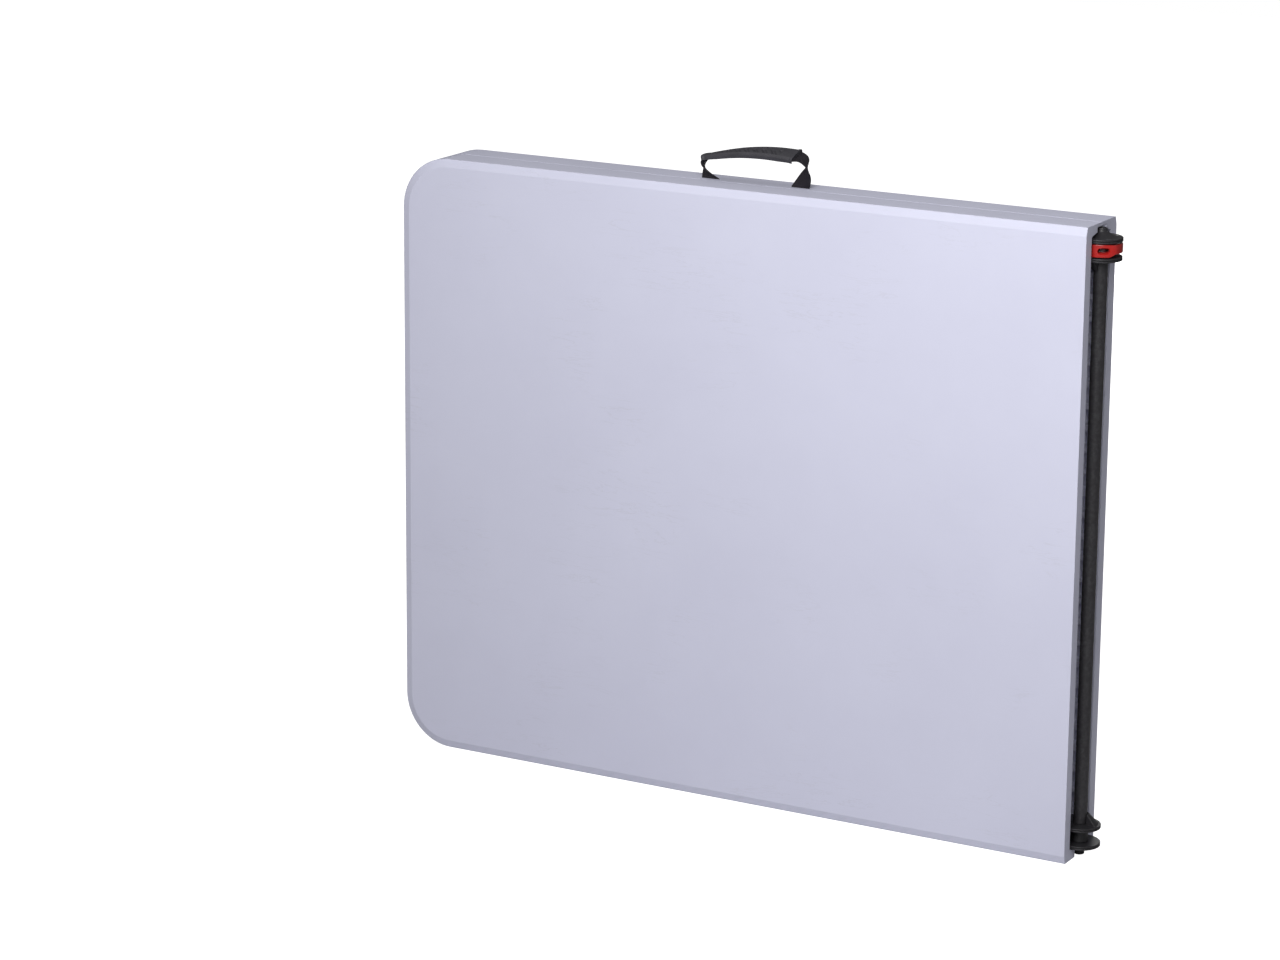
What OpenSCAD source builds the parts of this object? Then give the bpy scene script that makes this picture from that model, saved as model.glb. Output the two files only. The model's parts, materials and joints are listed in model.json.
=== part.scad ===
// Fold-in-half table, shut and standing on one long edge.
// X runs from the rounded outer ends (-) to the fold (+), Y through the thickness, Z up.
// The front half is at Y < 0 and the rear half at Y > 0, undersides face to face.
// The origin is under the middle of the shut table, on the surface that it stands on.

/* [Table top] */
// Length of one half, from its outer end to the fold
half_l = 915; // [890:5:1220]
// Width of the table, which is its height when it stands shut
table_w = 760; // [640:5:800]
// Depth of one half, from the table face to the seam
half_t = 44; // [42:1:50]
// Thickness of the double-walled panel behind the table face
panel_t = 16; // [12:0.5:16]
// Wall of the blow-moulded shell
shell_t = 2; // [1.5:0.1:3.5]
// Thickness of the rim at the seam
rim_t = 8.5; // [6:0.5:9]
// Thickness of the rim where it meets the panel
rim_root_t = 13; // [11:0.5:14]
// Radius of the outer corners
corner_r = 65; // [40:5:100]
// Width of the bevel round the table face
bevel_in = 10; // [6:1:14]
// Depth of the bevel round the table face
bevel_d = 3; // [2:1:12]
// Gap between the two rims when the table is shut
seam_gap = 0.6; // [0.4:0.1:1.5]
// Gap between the two halves at the fold when the table is open
fold_gap = 1; // [0.6:0.2:2]

/* [Hinge] */
// Diameter of the tube along the fold
tube_d = 16; // [14:1:18]
// Wall of the hinge tube
tube_wall = 1.5; // [1:0.1:2]
// Diameter of the hinge pins
pin_d = 9; // [7:0.5:11]
// Length of each hinge pin inside the tube
pin_grip = 40; // [25:5:60]
// Clearance between the rounded ears and the panels
ear_room = 3.5; // [1:0.5:6]
// Thickness of a hinge ear
ear_t = 2; // [1.5:0.1:2.5]
// Gap between the two ears of a pair
ear_gap = 0.5; // [0.3:0.1:0.6]
// Length of a hinge bracket along its rail
bracket_l = 95; // [70:5:140]
// Clearance between the uppermost ears and the rim
top_ear_room = 4.3; // [0.3:0.1:12]
// Clearance between the lowest ears and the rim
bottom_ear_room = 0.4; // [0.3:0.1:12]
// Diameter of the spacer between the lower ears
spacer_d = 20; // [14:1:22]
// Height of a conical gusset on an ear
gusset_h = 12; // [6:1:16]
// Radial clearance of a running fit
running_fit = 0.1; // [0.05:0.01:0.1]
// Clearance between pieces that pass each other
clear = 0.3; // [0.2:0.05:0.5]

/* [Fold latch] */
// From the edge of the ears to the edge of the latch drum
latch_inset = 2; // [1:0.5:6]
// Play of the latch between the ears, above and below
latch_play = 1.25; // [0.4:0.05:3]
// From the edge of the ears to the end of the finger tab
tab_inset = 0.1; // [0:0.1:1]
// Step from the latch drum down to its finger tab
tab_step = 2; // [1:0.5:3]
// Outer wall of the latch, beside the spring pocket
latch_side_wall = 11; // [5:0.5:12]
// Upper and lower wall of the latch, over the spring pocket
latch_wall = 3; // [2:0.5:4]
// Length of the window in the latch
window_l = 13; // [8:0.5:16]
// Height of the window in the latch
window_h = 5; // [3:0.5:6]
// Wire diameter of the latch spring
spring_wire = 1.6; // [1:0.1:2]

/* [Frame rails] */
// Width of a rail along the table's width
rail_w = 20; // [16:1:26]
// Height of a rail off the panel
rail_h = 19; // [14:1:20]
// Wall of a rail
rail_wall = 1; // [1:0.1:2]

/* [Leg frames] */
// Height of the open table
table_h = 740; // [700:5:745]
// From the outer end to the leg's pivot
pivot_inset = 80; // [72:1:90]
// Play of the pivot tube between the panel and the seam, on each side
pivot_play = 1.85; // [1:0.05:4]
// Play of the uprights and the foot bar, on each side
leg_play = 2.85; // [2.4:0.05:5]
// Wall of the leg tubes
leg_wall = 1; // [1:0.1:2]
// From a rail to the end of the foot bar
foot_room = 30; // [10:1:60]
// From the end of the foot bar to the middle of an upright
foot_over = 42; // [30:1:80]
// Length of a foot cap
cap_l = 28; // [16:1:29]
// Wall of a foot cap
cap_wall = 1.2; // [0.8:0.1:1.6]
// From the pivot to the leg's crossbar
crossbar_reach = 330; // [300:5:360]
// Diameter of the leg's crossbar
crossbar_d = 14; // [10:1:14]
// Thickness of a pivot bracket
pivot_plate_t = 3; // [2:0.5:4]
// Length of a pivot bracket along its rail
pivot_plate_l = 56; // [46:2:64]
// Width of a pivot bracket's foot
pivot_foot_w = 14; // [12:1:16]

/* [Braces] */
// From the outer end to the brace's bracket
brace_q = 700; // [660:5:720]
// Width of the brace links
link_w = 20; // [16:1:24]
// Thickness of the brace links
link_t = 3.5; // [3:0.5:4]
// From the seam to the long link
link_y = 3.2; // [3.2:0.1:3.5]
// Gap between the two links
link_gap = 2; // [1.8:0.1:2.2]
// Diameter of the brace rivets
rivet_d = 6; // [4:0.5:8]
// Wall of the lock ring
ring_wall = 1.5; // [1:0.1:1.6]
// Length of the lock ring
ring_l = 22; // [14:1:30]
// From the outer end to the middle of the lock ring
ring_x = 640; // [620:5:645]

/* [Clips and screws] */
// Width of a clip that holds the foot bar
clip_w = 18; // [12:1:24]
// Wall of the clips
clip_wall = 3; // [2:0.5:4]
// Distance between the two clips
clip_span = 300; // [200:10:400]
// Diameter of a screw head
head_d = 9; // [7:0.5:10]
// Height of a screw head
head_h = 2; // [1.5:0.1:2.5]
// Diameter of a screw shank
shank_d = 4; // [3:0.5:4.5]

/* [Handle] */
// From the middle of the half's length to the middle of the handle
handle_shift = 6.5; // [-30:0.5:30]
// From the seam to the handle's slots
handle_y = 12; // [12:0.5:18]
// Distance between the middles of the two slots
strap_span = 120; // [110:1:140]
// Width of the webbing
strap_w = 25; // [20:1:28]
// Thickness of the webbing
strap_t = 2.5; // [1.5:0.1:3]
// Clearance of the webbing in its slots
slot_fit = 0.5; // [0.3:0.1:1]
// Length of the grip beyond the middle of each slot
grip_over = 7; // [2:1:14]
// Width of the grip
grip_w = 28; // [27:1:34]
// Height of the grip's underside over the rim at its ends
grip_rise = 25; // [22:1:34]
// Rise of the grip's arch
grip_arch = 6; // [2:1:10]
// Depth of the grip
grip_h = 12; // [9:1:16]
// Wall of the grip
grip_wall = 3; // [2:0.5:4]
// Height of the handle's turning axis over the rim
swing_rise = 2.2; // [2:0.1:3]
// Thickness of the plates that anchor the webbing
anchor_t = 2; // [1.5:0.1:2.5]

/* [Hidden] */
$fn = 64;
e = 0.01;

// Colours
plastic = [0.80, 0.80, 0.86];
steel = [0.20, 0.20, 0.21];
zinc = [0.62, 0.63, 0.65];
black = [0.08, 0.08, 0.09];
red = [0.72, 0.08, 0.06];

// Sides of the table: the front half is mirrored, the rear half isn't
FRONT = -1;
REAR = 1;

// The fold, the outer end and the seam
y_rim = seam_gap / 2;
y_under = half_t - panel_t;
ear_r = y_under - ear_room;
x_fold = (half_l - ear_r) / 2;
x_out = x_fold - half_l;
x_end = x_fold - fold_gap / 2;
z_mid = table_w / 2;

// Ears: each pair has the rear ear above the front ear
ear_pitch = rail_w + ear_t;
ear_shift = (ear_t + ear_gap) / 2;
pair_half = ear_t + ear_gap / 2;
z_lowest = rim_at(ear_r) + bottom_ear_room + pair_half;
z_highest = table_w - rim_at(ear_r) - top_ear_room - pair_half;
low_pairs = [z_lowest, z_lowest + ear_pitch];
top_pairs = [z_highest - ear_pitch, z_highest];

// Rails stop short of the ears that turn beside them
x_rail = x_fold - ear_r - 5 * clear;
x_rail_out = x_out + corner_r;
y_rail = y_under - rail_h;

// The latch sits midway between its two pairs of ears
z_latch = (top_pairs[0] + top_pairs[1]) / 2;
latch_h = ear_pitch - 2 * pair_half - 2 * latch_play;
latch_r = ear_r - latch_inset;
latch_tab_r = ear_r - tab_inset;
latch_tab_h = latch_h - 2 * tab_step;
pocket_r = latch_r - latch_side_wall;
pocket_h = latch_h - 2 * latch_wall;

// The leg folds flat: its axis is midway in the space behind the panel
y_leg = (y_rim + y_under) / 2;
pivot_d = y_under - y_rim - 2 * pivot_play;
leg_d = y_under - y_rim - 2 * leg_play;
z_foot = [rail_low(REAR) + rail_w + foot_room, rail_high(FRONT) - rail_w - foot_room];
z_legs = [z_foot[0] + foot_over, z_foot[1] - foot_over];
x_pivot = x_out + pivot_inset;
foot_reach = table_h - (half_t - y_leg) - leg_d / 2 - cap_wall;
x_foot = x_pivot + foot_reach;
x_cross = x_pivot + crossbar_reach;
y_cross = y_under - crossbar_d / 2 - clear;

// The brace is straight when the leg stands square to the top
x_brace = x_out + brace_q;
brace_stretched = sqrt(pow(x_brace - x_pivot, 2) + pow(crossbar_reach, 2));
brace_shut = x_brace - x_cross;
long_link = (brace_stretched + brace_shut) / 2;
short_link = (brace_stretched - brace_shut) / 2;
x_knee = x_brace - long_link;
y_short = link_y + link_t + link_gap;

// The handle
x_handle = x_out + half_l / 2 + handle_shift;
grip_l = strap_span + 2 * grip_over;
strap_xs = [x_handle - strap_span / 2, x_handle + strap_span / 2];
z_swing = table_w + swing_rise;
strap_top = table_w + grip_rise + grip_h - grip_wall - strap_t;
arch_r = (pow(grip_l / 2, 2) + pow(grip_arch, 2)) / (2 * grip_arch);

// Lowest and highest edge of a rail, on either half
function rail_low(side) = low_pairs[0] + side * ear_shift + ear_t / 2;
function rail_high(side) = top_pairs[1] + side * ear_shift - ear_t / 2;

// Thickness of the rim at a distance from the seam
function rim_at(y) = rim_t + (rim_root_t - rim_t) * (y - y_rim) / (y_under - y_rim);

// Draws a rear piece on the half that is asked for
module on(side) {
    if (side == FRONT) mirror([0, 1, 0]) children();
    else children();
}

// Section of the rim: first coordinate inward from the edge, second away from the seam
module rim_section() {
    polygon([
        [0, y_rim], [rim_t, y_rim], [rim_root_t, y_under],
        [rim_root_t, half_t], [bevel_in, half_t], [0, half_t - bevel_d]
    ]);
}

// One corner of the rim, about the corner's own middle
module rim_corner(turn) {
    mirror([0, 1, 0]) rotate([90, 0, 0]) rotate([0, 0, turn])
        rotate_extrude(angle = 90, $fn = 96)
            translate([corner_r, 0]) mirror([1, 0]) rim_section();
}

// Outline of the flat of the panel, inside the rim, in X and Z
module panel_outline(inset, end_inset) {
    r = corner_r - inset;
    x0 = x_out + inset;
    x1 = x_end - end_inset;
    translate([x0 + r, inset]) square([x1 - x0 - r, table_w - 2 * inset]);
    translate([x0, inset + r]) square([x1 - x0, table_w - 2 * inset - 2 * r]);
    for (z = [inset + r, table_w - inset - r])
        translate([x0 + r, z]) circle(r, $fn = 96);
}

// Extrudes an outline in X and Z from one depth to another
module slab(y0, y1) {
    translate([0, y1, 0]) rotate([90, 0, 0]) linear_extrude(y1 - y0) children();
}

module top_panel(side) {
    straight_x = x_end - x_out - corner_r;
    straight_z = table_w - 2 * corner_r;
    color(plastic) on(side) difference() {
        union() {
            slab(y_under, half_t) panel_outline(rim_root_t, 0);
            // Lower and upper long rims
            translate([x_out + corner_r, 0, 0]) rotate([90, 0, 90])
                linear_extrude(straight_x) mirror([1, -1]) rim_section();
            translate([x_end, 0, table_w]) rotate([90, 0, -90])
                linear_extrude(straight_x) mirror([1, 1]) rim_section();
            // Rim across the outer end
            translate([x_out, 0, corner_r]) linear_extrude(straight_z) rim_section();
            translate([x_out + corner_r, 0, corner_r]) rim_corner(180);
            translate([x_out + corner_r, 0, table_w - corner_r]) rim_corner(90);
        }
        // Closed space inside the blow-moulded panel
        slab(y_under + shell_t, half_t - shell_t)
            panel_outline(rim_root_t + shell_t, shell_t);
        if (side == REAR)
            for (x = strap_xs)
                translate([x - strap_w / 2 - slot_fit, handle_y - strap_t / 2 - slot_fit,
                           table_w - 2 * rim_root_t])
                    cube([strap_w + 2 * slot_fit, strap_t + 2 * slot_fit, 3 * rim_root_t]);
    }
}

module rail(side, z) {
    color(steel) on(side) difference() {
        translate([x_rail_out, y_rail, z]) cube([x_rail - x_rail_out, rail_h, rail_w]);
        translate([x_rail_out - e, y_rail + rail_wall, z + rail_wall])
            cube([x_rail - x_rail_out + 2 * e, rail_h - 2 * rail_wall, rail_w - 2 * rail_wall]);
    }
}

// A hinge bracket: two ears on one end plate, welded over the end of a rail
module hinge_bracket(side, pairs) {
    z0 = pairs[0] + side * ear_shift;
    color(steel) on(side) difference() {
        union() {
            for (z = [z0, z0 + ear_pitch])
                translate([0, 0, z - ear_t / 2]) linear_extrude(ear_t) {
                    translate([x_fold, 0]) circle(ear_r);
                    translate([x_fold - bracket_l, y_rail])
                        square([bracket_l, ear_r - y_rail - clear]);
                }
            translate([x_rail, y_rail, z0 - ear_t / 2])
                cube([4 * clear, ear_r - y_rail - clear, ear_pitch + ear_t]);
        }
        translate([x_fold, 0, z0 - ear_t]) cylinder(d = pin_d + 2 * running_fit, h = ear_pitch + 2 * ear_t);
    }
}

// A cone-shaped gusset over part of an ear, rising from z by the given height
module gusset(z, h, start, sweep, inner_r) {
    translate([x_fold, 0, z]) mirror([0, 0, h < 0 ? 1 : 0]) rotate([0, 0, start])
        rotate_extrude(angle = sweep)
            polygon([[inner_r, 0], [ear_r - 3, 0], [inner_r + 1.5, abs(h)], [inner_r, abs(h)]]);
}

module hinge_bracket_lower(side) {
    tube_side = tube_d / 2 + 2 * clear;
    hinge_bracket(side, low_pairs);
    if (side == REAR)
        color(steel) gusset(low_pairs[1] + pair_half, gusset_h, -15, 120, tube_side);
}

module hinge_bracket_upper(side) {
    tube_side = tube_d / 2 + 2 * clear;
    boss_h = table_w - rim_t - 5 * clear - top_pairs[1] - pair_half;
    hinge_bracket(side, top_pairs);
    if (side == REAR)
        color(steel) gusset(top_pairs[1] + pair_half, boss_h, 0, 360, pin_d / 2 + running_fit);
    if (side == FRONT)
        color(steel) gusset(top_pairs[0] - pair_half, -gusset_h, 160, 110, tube_side);
}

module hinge_tube() {
    z0 = low_pairs[1] + pair_half + clear;
    z1 = top_pairs[0] - pair_half;
    color(steel) translate([x_fold, 0, z0]) difference() {
        cylinder(d = tube_d, h = z1 - z0);
        translate([0, 0, -e]) cylinder(d = tube_d - 2 * tube_wall, h = z1 - z0 + 2 * e);
    }
}

// Bushes that centre the pins in the ends of the tube
module hinge_tube_plugs() {
    z0 = low_pairs[1] + pair_half + clear;
    z1 = top_pairs[0] - pair_half;
    color(black) for (z = [z0, z1 - pin_grip])
        translate([x_fold, 0, z]) difference() {
            cylinder(d = tube_d - 2 * tube_wall, h = pin_grip);
            translate([0, 0, -e]) cylinder(d = pin_d, h = pin_grip + 2 * e);
        }
}

module hinge_pin_lower() {
    z0 = rim_t + 4 * clear;
    color(zinc) translate([x_fold, 0, z0])
        cylinder(d = pin_d, h = low_pairs[1] + pair_half + clear + pin_grip - z0);
}

module hinge_pin_upper() {
    z0 = top_pairs[0] - pair_half - pin_grip;
    color(zinc) translate([x_fold, 0, z0])
        cylinder(d = pin_d, h = table_w - rim_t - 4 * clear - z0);
}

module hinge_spacer() {
    z0 = low_pairs[0] + pair_half + clear;
    h = ear_pitch - 2 * pair_half - 2 * clear;
    color(black) translate([x_fold, 0, z0]) difference() {
        cylinder(d = spacer_d, h = h);
        translate([0, 0, -e]) cylinder(d = pin_d, h = h + 2 * e);
    }
}

module latch_lever() {
    slot_turn = -60;
    color(red) translate([x_fold, 0, z_latch]) difference() {
        union() {
            translate([0, 0, -latch_h / 2]) cylinder(r = latch_r, h = latch_h);
            intersection() {
                translate([0, -latch_r * 0.55, -latch_tab_h / 2])
                    cube([2 * latch_tab_r, latch_r * 1.1, latch_tab_h]);
                translate([0, 0, -latch_tab_h]) cylinder(r = latch_tab_r, h = 2 * latch_tab_h);
            }
        }
        translate([0, 0, -latch_h]) cylinder(d = pin_d + 2 * running_fit, h = 2 * latch_h);
        translate([0, 0, -pocket_h / 2]) cylinder(r = pocket_r, h = pocket_h);
        rotate([0, 0, slot_turn]) {
            translate([0, (window_h - window_l) / 2, -window_h / 2])
                cube([2 * latch_r, window_l - window_h, window_h]);
            for (y = [window_h - window_l, window_l - window_h])
                translate([0, y / 2, 0]) rotate([0, 90, 0]) cylinder(d = window_h, h = 2 * latch_r);
        }
    }
}

// Torsion spring round the pin, drawn as closed turns
module latch_spring() {
    turns = 4;
    pitch = (pocket_h - spring_wire - 2 * clear) / (turns - 1);
    color(zinc) for (i = [0 : turns - 1])
        translate([x_fold, 0, z_latch + (i - (turns - 1) / 2) * pitch])
            rotate_extrude() translate([(pocket_r + pin_d / 2) / 2, 0]) circle(d = spring_wire, $fn = 16);
}

// An upright plate on the rail's inner face, with a foot on the panel
module pivot_bracket(side, z_face, turn) {
    foot_t = 2.5;
    color(steel) on(side) difference() {
        union() {
            translate([x_pivot - pivot_plate_l / 2, y_rim + 1, min(z_face, z_face + turn * pivot_plate_t)])
                cube([pivot_plate_l, y_under - y_rim - 1, pivot_plate_t]);
            for (x = [x_pivot - pivot_plate_l / 2, x_pivot + pivot_plate_l / 2 - pivot_foot_w])
                translate([x, y_under - foot_t, min(z_face, z_face + turn * (pivot_foot_w + pivot_plate_t))])
                    cube([pivot_foot_w, foot_t, pivot_foot_w + pivot_plate_t]);
        }
        translate([x_pivot, y_leg, z_face - 2 * pivot_plate_t])
            cylinder(d = pivot_d + 2 * running_fit, h = 4 * pivot_plate_t);
        for (x = foot_screw_xs)
            translate([x, y_under + e, z_face + turn * foot_screw_in])
                rotate([90, 0, 0]) cylinder(d = shank_d, h = foot_t + 2 * e);
    }
}

// Places of the screws in a pivot bracket's two feet
foot_screw_xs = [
    x_pivot - pivot_plate_l / 2 + pivot_foot_w / 2,
    x_pivot + pivot_plate_l / 2 - pivot_foot_w / 2
];
foot_screw_in = pivot_plate_t + pivot_foot_w / 2;

module tube_z(x, y, z0, z1, d) {
    translate([x, y, z0]) difference() {
        cylinder(d = d, h = z1 - z0);
        translate([0, 0, -e]) cylinder(d = d - 2 * leg_wall, h = z1 - z0 + 2 * e);
    }
}

module leg_pivot_tube(side) {
    color(steel) on(side)
        tube_z(x_pivot, y_leg, rail_low(side) + rail_w, rail_high(side) - rail_w, pivot_d);
}

// One upright, coped to the pivot tube and to the foot bar
module leg_upright(side, z) {
    color(steel) on(side) difference() {
        translate([x_pivot, y_leg, z]) rotate([0, 90, 0]) cylinder(d = leg_d, h = foot_reach);
        translate([x_pivot - e, y_leg, z]) rotate([0, 90, 0])
            cylinder(d = leg_d - 2 * leg_wall, h = foot_reach + 2 * e);
        translate([x_pivot, y_leg, z - leg_d]) cylinder(d = pivot_d, h = 2 * leg_d);
        translate([x_foot, y_leg, z - leg_d]) cylinder(d = leg_d + 0.4, h = 2 * leg_d);
    }
}

module foot_bar(side) {
    color(steel) on(side)
        tube_z(x_foot, y_leg, z_foot[0], z_foot[1], leg_d);
}

// Cupped caps on both ends of the foot bar
module foot_caps(side) {
    color(black) on(side) for (i = [0, 1])
        translate([x_foot, y_leg, z_foot[i]]) mirror([0, 0, i]) difference() {
            translate([0, 0, -2 * cap_wall]) cylinder(d = leg_d + 2 * cap_wall, h = cap_l + 2 * cap_wall);
            cylinder(d = leg_d, h = cap_l + e);
        }
}

module crossbar(side) {
    color(steel) on(side) difference() {
        tube_z(x_cross, y_cross, z_legs[0], z_legs[1], crossbar_d);
        for (z = z_legs)
            translate([x_cross - leg_d, y_leg, z]) rotate([0, 90, 0])
                cylinder(d = leg_d, h = 2 * leg_d);
    }
}

// Saddle that joins the short link to the crossbar
module crossbar_clip(side) {
    y_top = y_short + link_t;
    color(steel) on(side) difference() {
        translate([x_cross - crossbar_d / 2 - clip_wall, y_top, z_mid - link_w / 2])
            cube([crossbar_d + 2 * clip_wall, y_cross - y_top, link_w]);
        translate([x_cross, y_cross, z_mid - link_w]) cylinder(d = crossbar_d, h = 2 * link_w);
    }
}

// A flat link with round ends and two rivet holes
module link(x0, x1, y) {
    translate([0, y + link_t, z_mid]) rotate([90, 0, 0]) linear_extrude(link_t) difference() {
        union() {
            translate([x0, -link_w / 2]) square([x1 - x0, link_w]);
            for (x = [x0, x1]) translate([x, 0]) circle(d = link_w);
        }
        for (x = [x0, x1]) translate([x, 0]) circle(d = rivet_d);
    }
}

module brace_long_link(side) {
    color(zinc) on(side) link(x_knee, x_brace, link_y);
}

module brace_short_link(side) {
    color(zinc) on(side) link(x_knee, x_cross, y_short);
}

// Post with a foot on the panel, under the fixed end of the long link
module brace_bracket(side) {
    foot_t = 2.5;
    foot_l = 60;
    post = link_w;
    color(steel) on(side) difference() {
        union() {
            translate([x_brace - post / 2, link_y + link_t, z_mid - post / 2])
                cube([post, y_under - link_y - link_t, post]);
            translate([x_brace - post / 2, y_under - foot_t, z_mid - foot_l / 2])
                cube([post, foot_t, foot_l]);
        }
        translate([x_brace, 0, z_mid]) rotate([-90, 0, 0]) cylinder(d = rivet_d, h = y_under - foot_t - 2);
        for (z = brace_screw_zs)
            translate([x_brace, y_under + e, z]) rotate([90, 0, 0]) cylinder(d = shank_d, h = foot_t + 2 * e);
    }
}

brace_screw_zs = [z_mid - 20, z_mid + 20];

// Rivets: one at the knee, one at the bracket and one at the crossbar
module brace_rivets(side) {
    cap_h = 1.2;
    color(zinc) on(side) {
        rivet(x_knee, link_y - cap_h, y_short + link_t + cap_h, link_y, y_short + link_t);
        rivet(x_brace, link_y - cap_h, y_under - 5, link_y, undef);
        translate([x_knee, link_y + link_t, z_mid]) rotate([-90, 0, 0]) difference() {
            cylinder(d = 2 * rivet_d, h = link_gap);
            translate([0, 0, -e]) cylinder(d = rivet_d, h = link_gap + 2 * e);
        }
        translate([x_cross, y_short, z_mid]) rotate([-90, 0, 0]) cylinder(d = rivet_d, h = link_t);
    }
}

// A headed pin along Y, with a head before near_face and after far_face
module rivet(x, y0, y1, near_face, far_face) {
    translate([x, y0, z_mid]) rotate([-90, 0, 0]) cylinder(d = rivet_d, h = y1 - y0);
    translate([x, y0, z_mid]) rotate([-90, 0, 0]) cylinder(d = 2 * rivet_d, h = near_face - y0);
    if (far_face != undef)
        translate([x, far_face, z_mid]) rotate([-90, 0, 0]) cylinder(d = 2 * rivet_d, h = y1 - far_face);
}

// Flat ring that slides along the long link
module lock_ring(side) {
    gap = clear;
    y0 = link_y - gap;
    h = link_t + 2 * gap;
    w = link_w + 2 * gap;
    color(zinc) on(side) translate([x_out + ring_x - ring_l / 2, 0, 0]) difference() {
        translate([0, y0 - ring_wall, z_mid - w / 2 - ring_wall])
            cube([ring_l, h + 2 * ring_wall, w + 2 * ring_wall]);
        translate([-e, y0, z_mid - w / 2]) cube([ring_l + 2 * e, h, w]);
    }
}

// Plastic clips that hold the folded foot bar against the panel
module leg_clips(side) {
    w = leg_d + 2 * clip_wall;
    lip = 4;
    color(black) on(side) for (s = [-1, 1])
        translate([x_foot, 0, z_mid + s * clip_span / 2 - clip_w / 2]) difference() {
            translate([-w / 2, y_leg - lip, 0]) cube([w, y_under - y_leg + lip, clip_w]);
            translate([0, y_leg, -e]) cylinder(d = leg_d, h = clip_w + 2 * e);
            translate([-leg_d / 2 + 1, 0, -e]) cube([leg_d - 2, y_leg, clip_w + 2 * e]);
        }
}

// One screw along Y: the head is on the face at y, the shank runs to the panel
module screw(x, y, z) {
    translate([x, y - head_h, z]) rotate([-90, 0, 0]) cylinder(d = head_d, h = head_h);
    translate([x, y - e, z]) rotate([-90, 0, 0]) cylinder(d = shank_d, h = y_under - y + e);
}

module screws(side) {
    foot_y = y_under - 2.5;
    z_low = rail_low(side) + rail_w;
    z_high = rail_high(side) - rail_w;
    color(zinc) on(side) {
        for (x = foot_screw_xs) {
            screw(x, foot_y, z_low + foot_screw_in);
            screw(x, foot_y, z_high - foot_screw_in);
        }
        for (z = brace_screw_zs) screw(x_brace, foot_y, z);
    }
}

// Ring sector in X and Z that gives the grip its arch
module arch_band(low, high) {
    slab(handle_y - grip_w / 2, handle_y + grip_w / 2) intersection() {
        difference() {
            translate([x_handle, table_w + grip_rise + grip_arch - arch_r]) circle(arch_r + high, $fn = 256);
            translate([x_handle, table_w + grip_rise + grip_arch - arch_r]) circle(arch_r + low, $fn = 256);
        }
        translate([x_handle - grip_l / 2, table_w]) square([grip_l, 4 * grip_h + grip_arch]);
    }
}

// Arched channel, open underneath, that the webbing runs through
module handle_grip() {
    inner_w = grip_w - 2 * grip_wall;
    color(black) difference() {
        arch_band(0, grip_h);
        intersection() {
            arch_band(-grip_h, grip_h - grip_wall);
            translate([x_handle - grip_l, handle_y - inner_w / 2, table_w])
                cube([2 * grip_l, inner_w, 4 * grip_h + grip_arch]);
        }
    }
}

// Webbing from slot to slot: two twisted rises and the flat run in the grip
module handle_strap() {
    rise = strap_top - z_swing;
    run_w = grip_w - 2 * grip_wall - 2 * clear;
    color(black) {
        for (x = strap_xs)
            translate([x, handle_y, z_swing - strap_t / 2])
                linear_extrude(rise + strap_t / 2 + e, twist = -90, slices = 12, segments = 4)
                    square([run_w, strap_t], center = true);
        translate([strap_xs[0] - strap_t / 2, handle_y - run_w / 2, strap_top])
            cube([strap_span + strap_t, run_w, strap_t]);
    }
}

// Ends of the webbing, down through the slots to the anchors
module strap_tails() {
    color(black) for (x = strap_xs)
        translate([x - strap_w / 2, handle_y - strap_t / 2, anchor_z + anchor_t])
            cube([strap_w, strap_t, table_w - anchor_z - anchor_t]);
}

anchor_z = table_w - rim_at(handle_y) - 2 * anchor_t - 1;

module strap_anchors() {
    color(zinc) for (x = strap_xs)
        translate([x - strap_w / 2 - 4, handle_y - 4, anchor_z]) cube([strap_w + 8, 8, anchor_t]);
}

module front_top_panel() { top_panel(FRONT); }
module rear_top_panel() { top_panel(REAR); }
module front_rail_lower() { rail(FRONT, rail_low(FRONT)); }
module front_rail_upper() { rail(FRONT, rail_high(FRONT) - rail_w); }
module rear_rail_lower() { rail(REAR, rail_low(REAR)); }
module rear_rail_upper() { rail(REAR, rail_high(REAR) - rail_w); }
module front_pivot_bracket_lower() { pivot_bracket(FRONT, rail_low(FRONT) + rail_w, 1); }
module front_pivot_bracket_upper() { pivot_bracket(FRONT, rail_high(FRONT) - rail_w, -1); }
module rear_pivot_bracket_lower() { pivot_bracket(REAR, rail_low(REAR) + rail_w, 1); }
module rear_pivot_bracket_upper() { pivot_bracket(REAR, rail_high(REAR) - rail_w, -1); }

front_top_panel();
rear_top_panel();
front_rail_lower();
front_rail_upper();
rear_rail_lower();
rear_rail_upper();
hinge_bracket_lower(FRONT);  // front_hinge_bracket_lower
hinge_bracket_upper(FRONT);  // front_hinge_bracket_upper
hinge_bracket_lower(REAR);  // rear_hinge_bracket_lower
hinge_bracket_upper(REAR);  // rear_hinge_bracket_upper
hinge_tube();
hinge_tube_plugs();
hinge_pin_lower();
hinge_pin_upper();
hinge_spacer();
latch_lever();
latch_spring();
front_pivot_bracket_lower();
front_pivot_bracket_upper();
rear_pivot_bracket_lower();
rear_pivot_bracket_upper();
leg_pivot_tube(FRONT);  // front_leg_pivot_tube
leg_pivot_tube(REAR);  // rear_leg_pivot_tube
leg_upright(FRONT, z_legs[0]);  // front_leg_lower
leg_upright(FRONT, z_legs[1]);  // front_leg_upper
leg_upright(REAR, z_legs[0]);  // rear_leg_lower
leg_upright(REAR, z_legs[1]);  // rear_leg_upper
foot_bar(FRONT);  // front_foot_bar
foot_bar(REAR);  // rear_foot_bar
foot_caps(FRONT);  // front_foot_caps
foot_caps(REAR);  // rear_foot_caps
crossbar(FRONT);  // front_crossbar
crossbar(REAR);  // rear_crossbar
crossbar_clip(FRONT);  // front_crossbar_clip
crossbar_clip(REAR);  // rear_crossbar_clip
brace_long_link(FRONT);  // front_brace_long_link
brace_long_link(REAR);  // rear_brace_long_link
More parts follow.
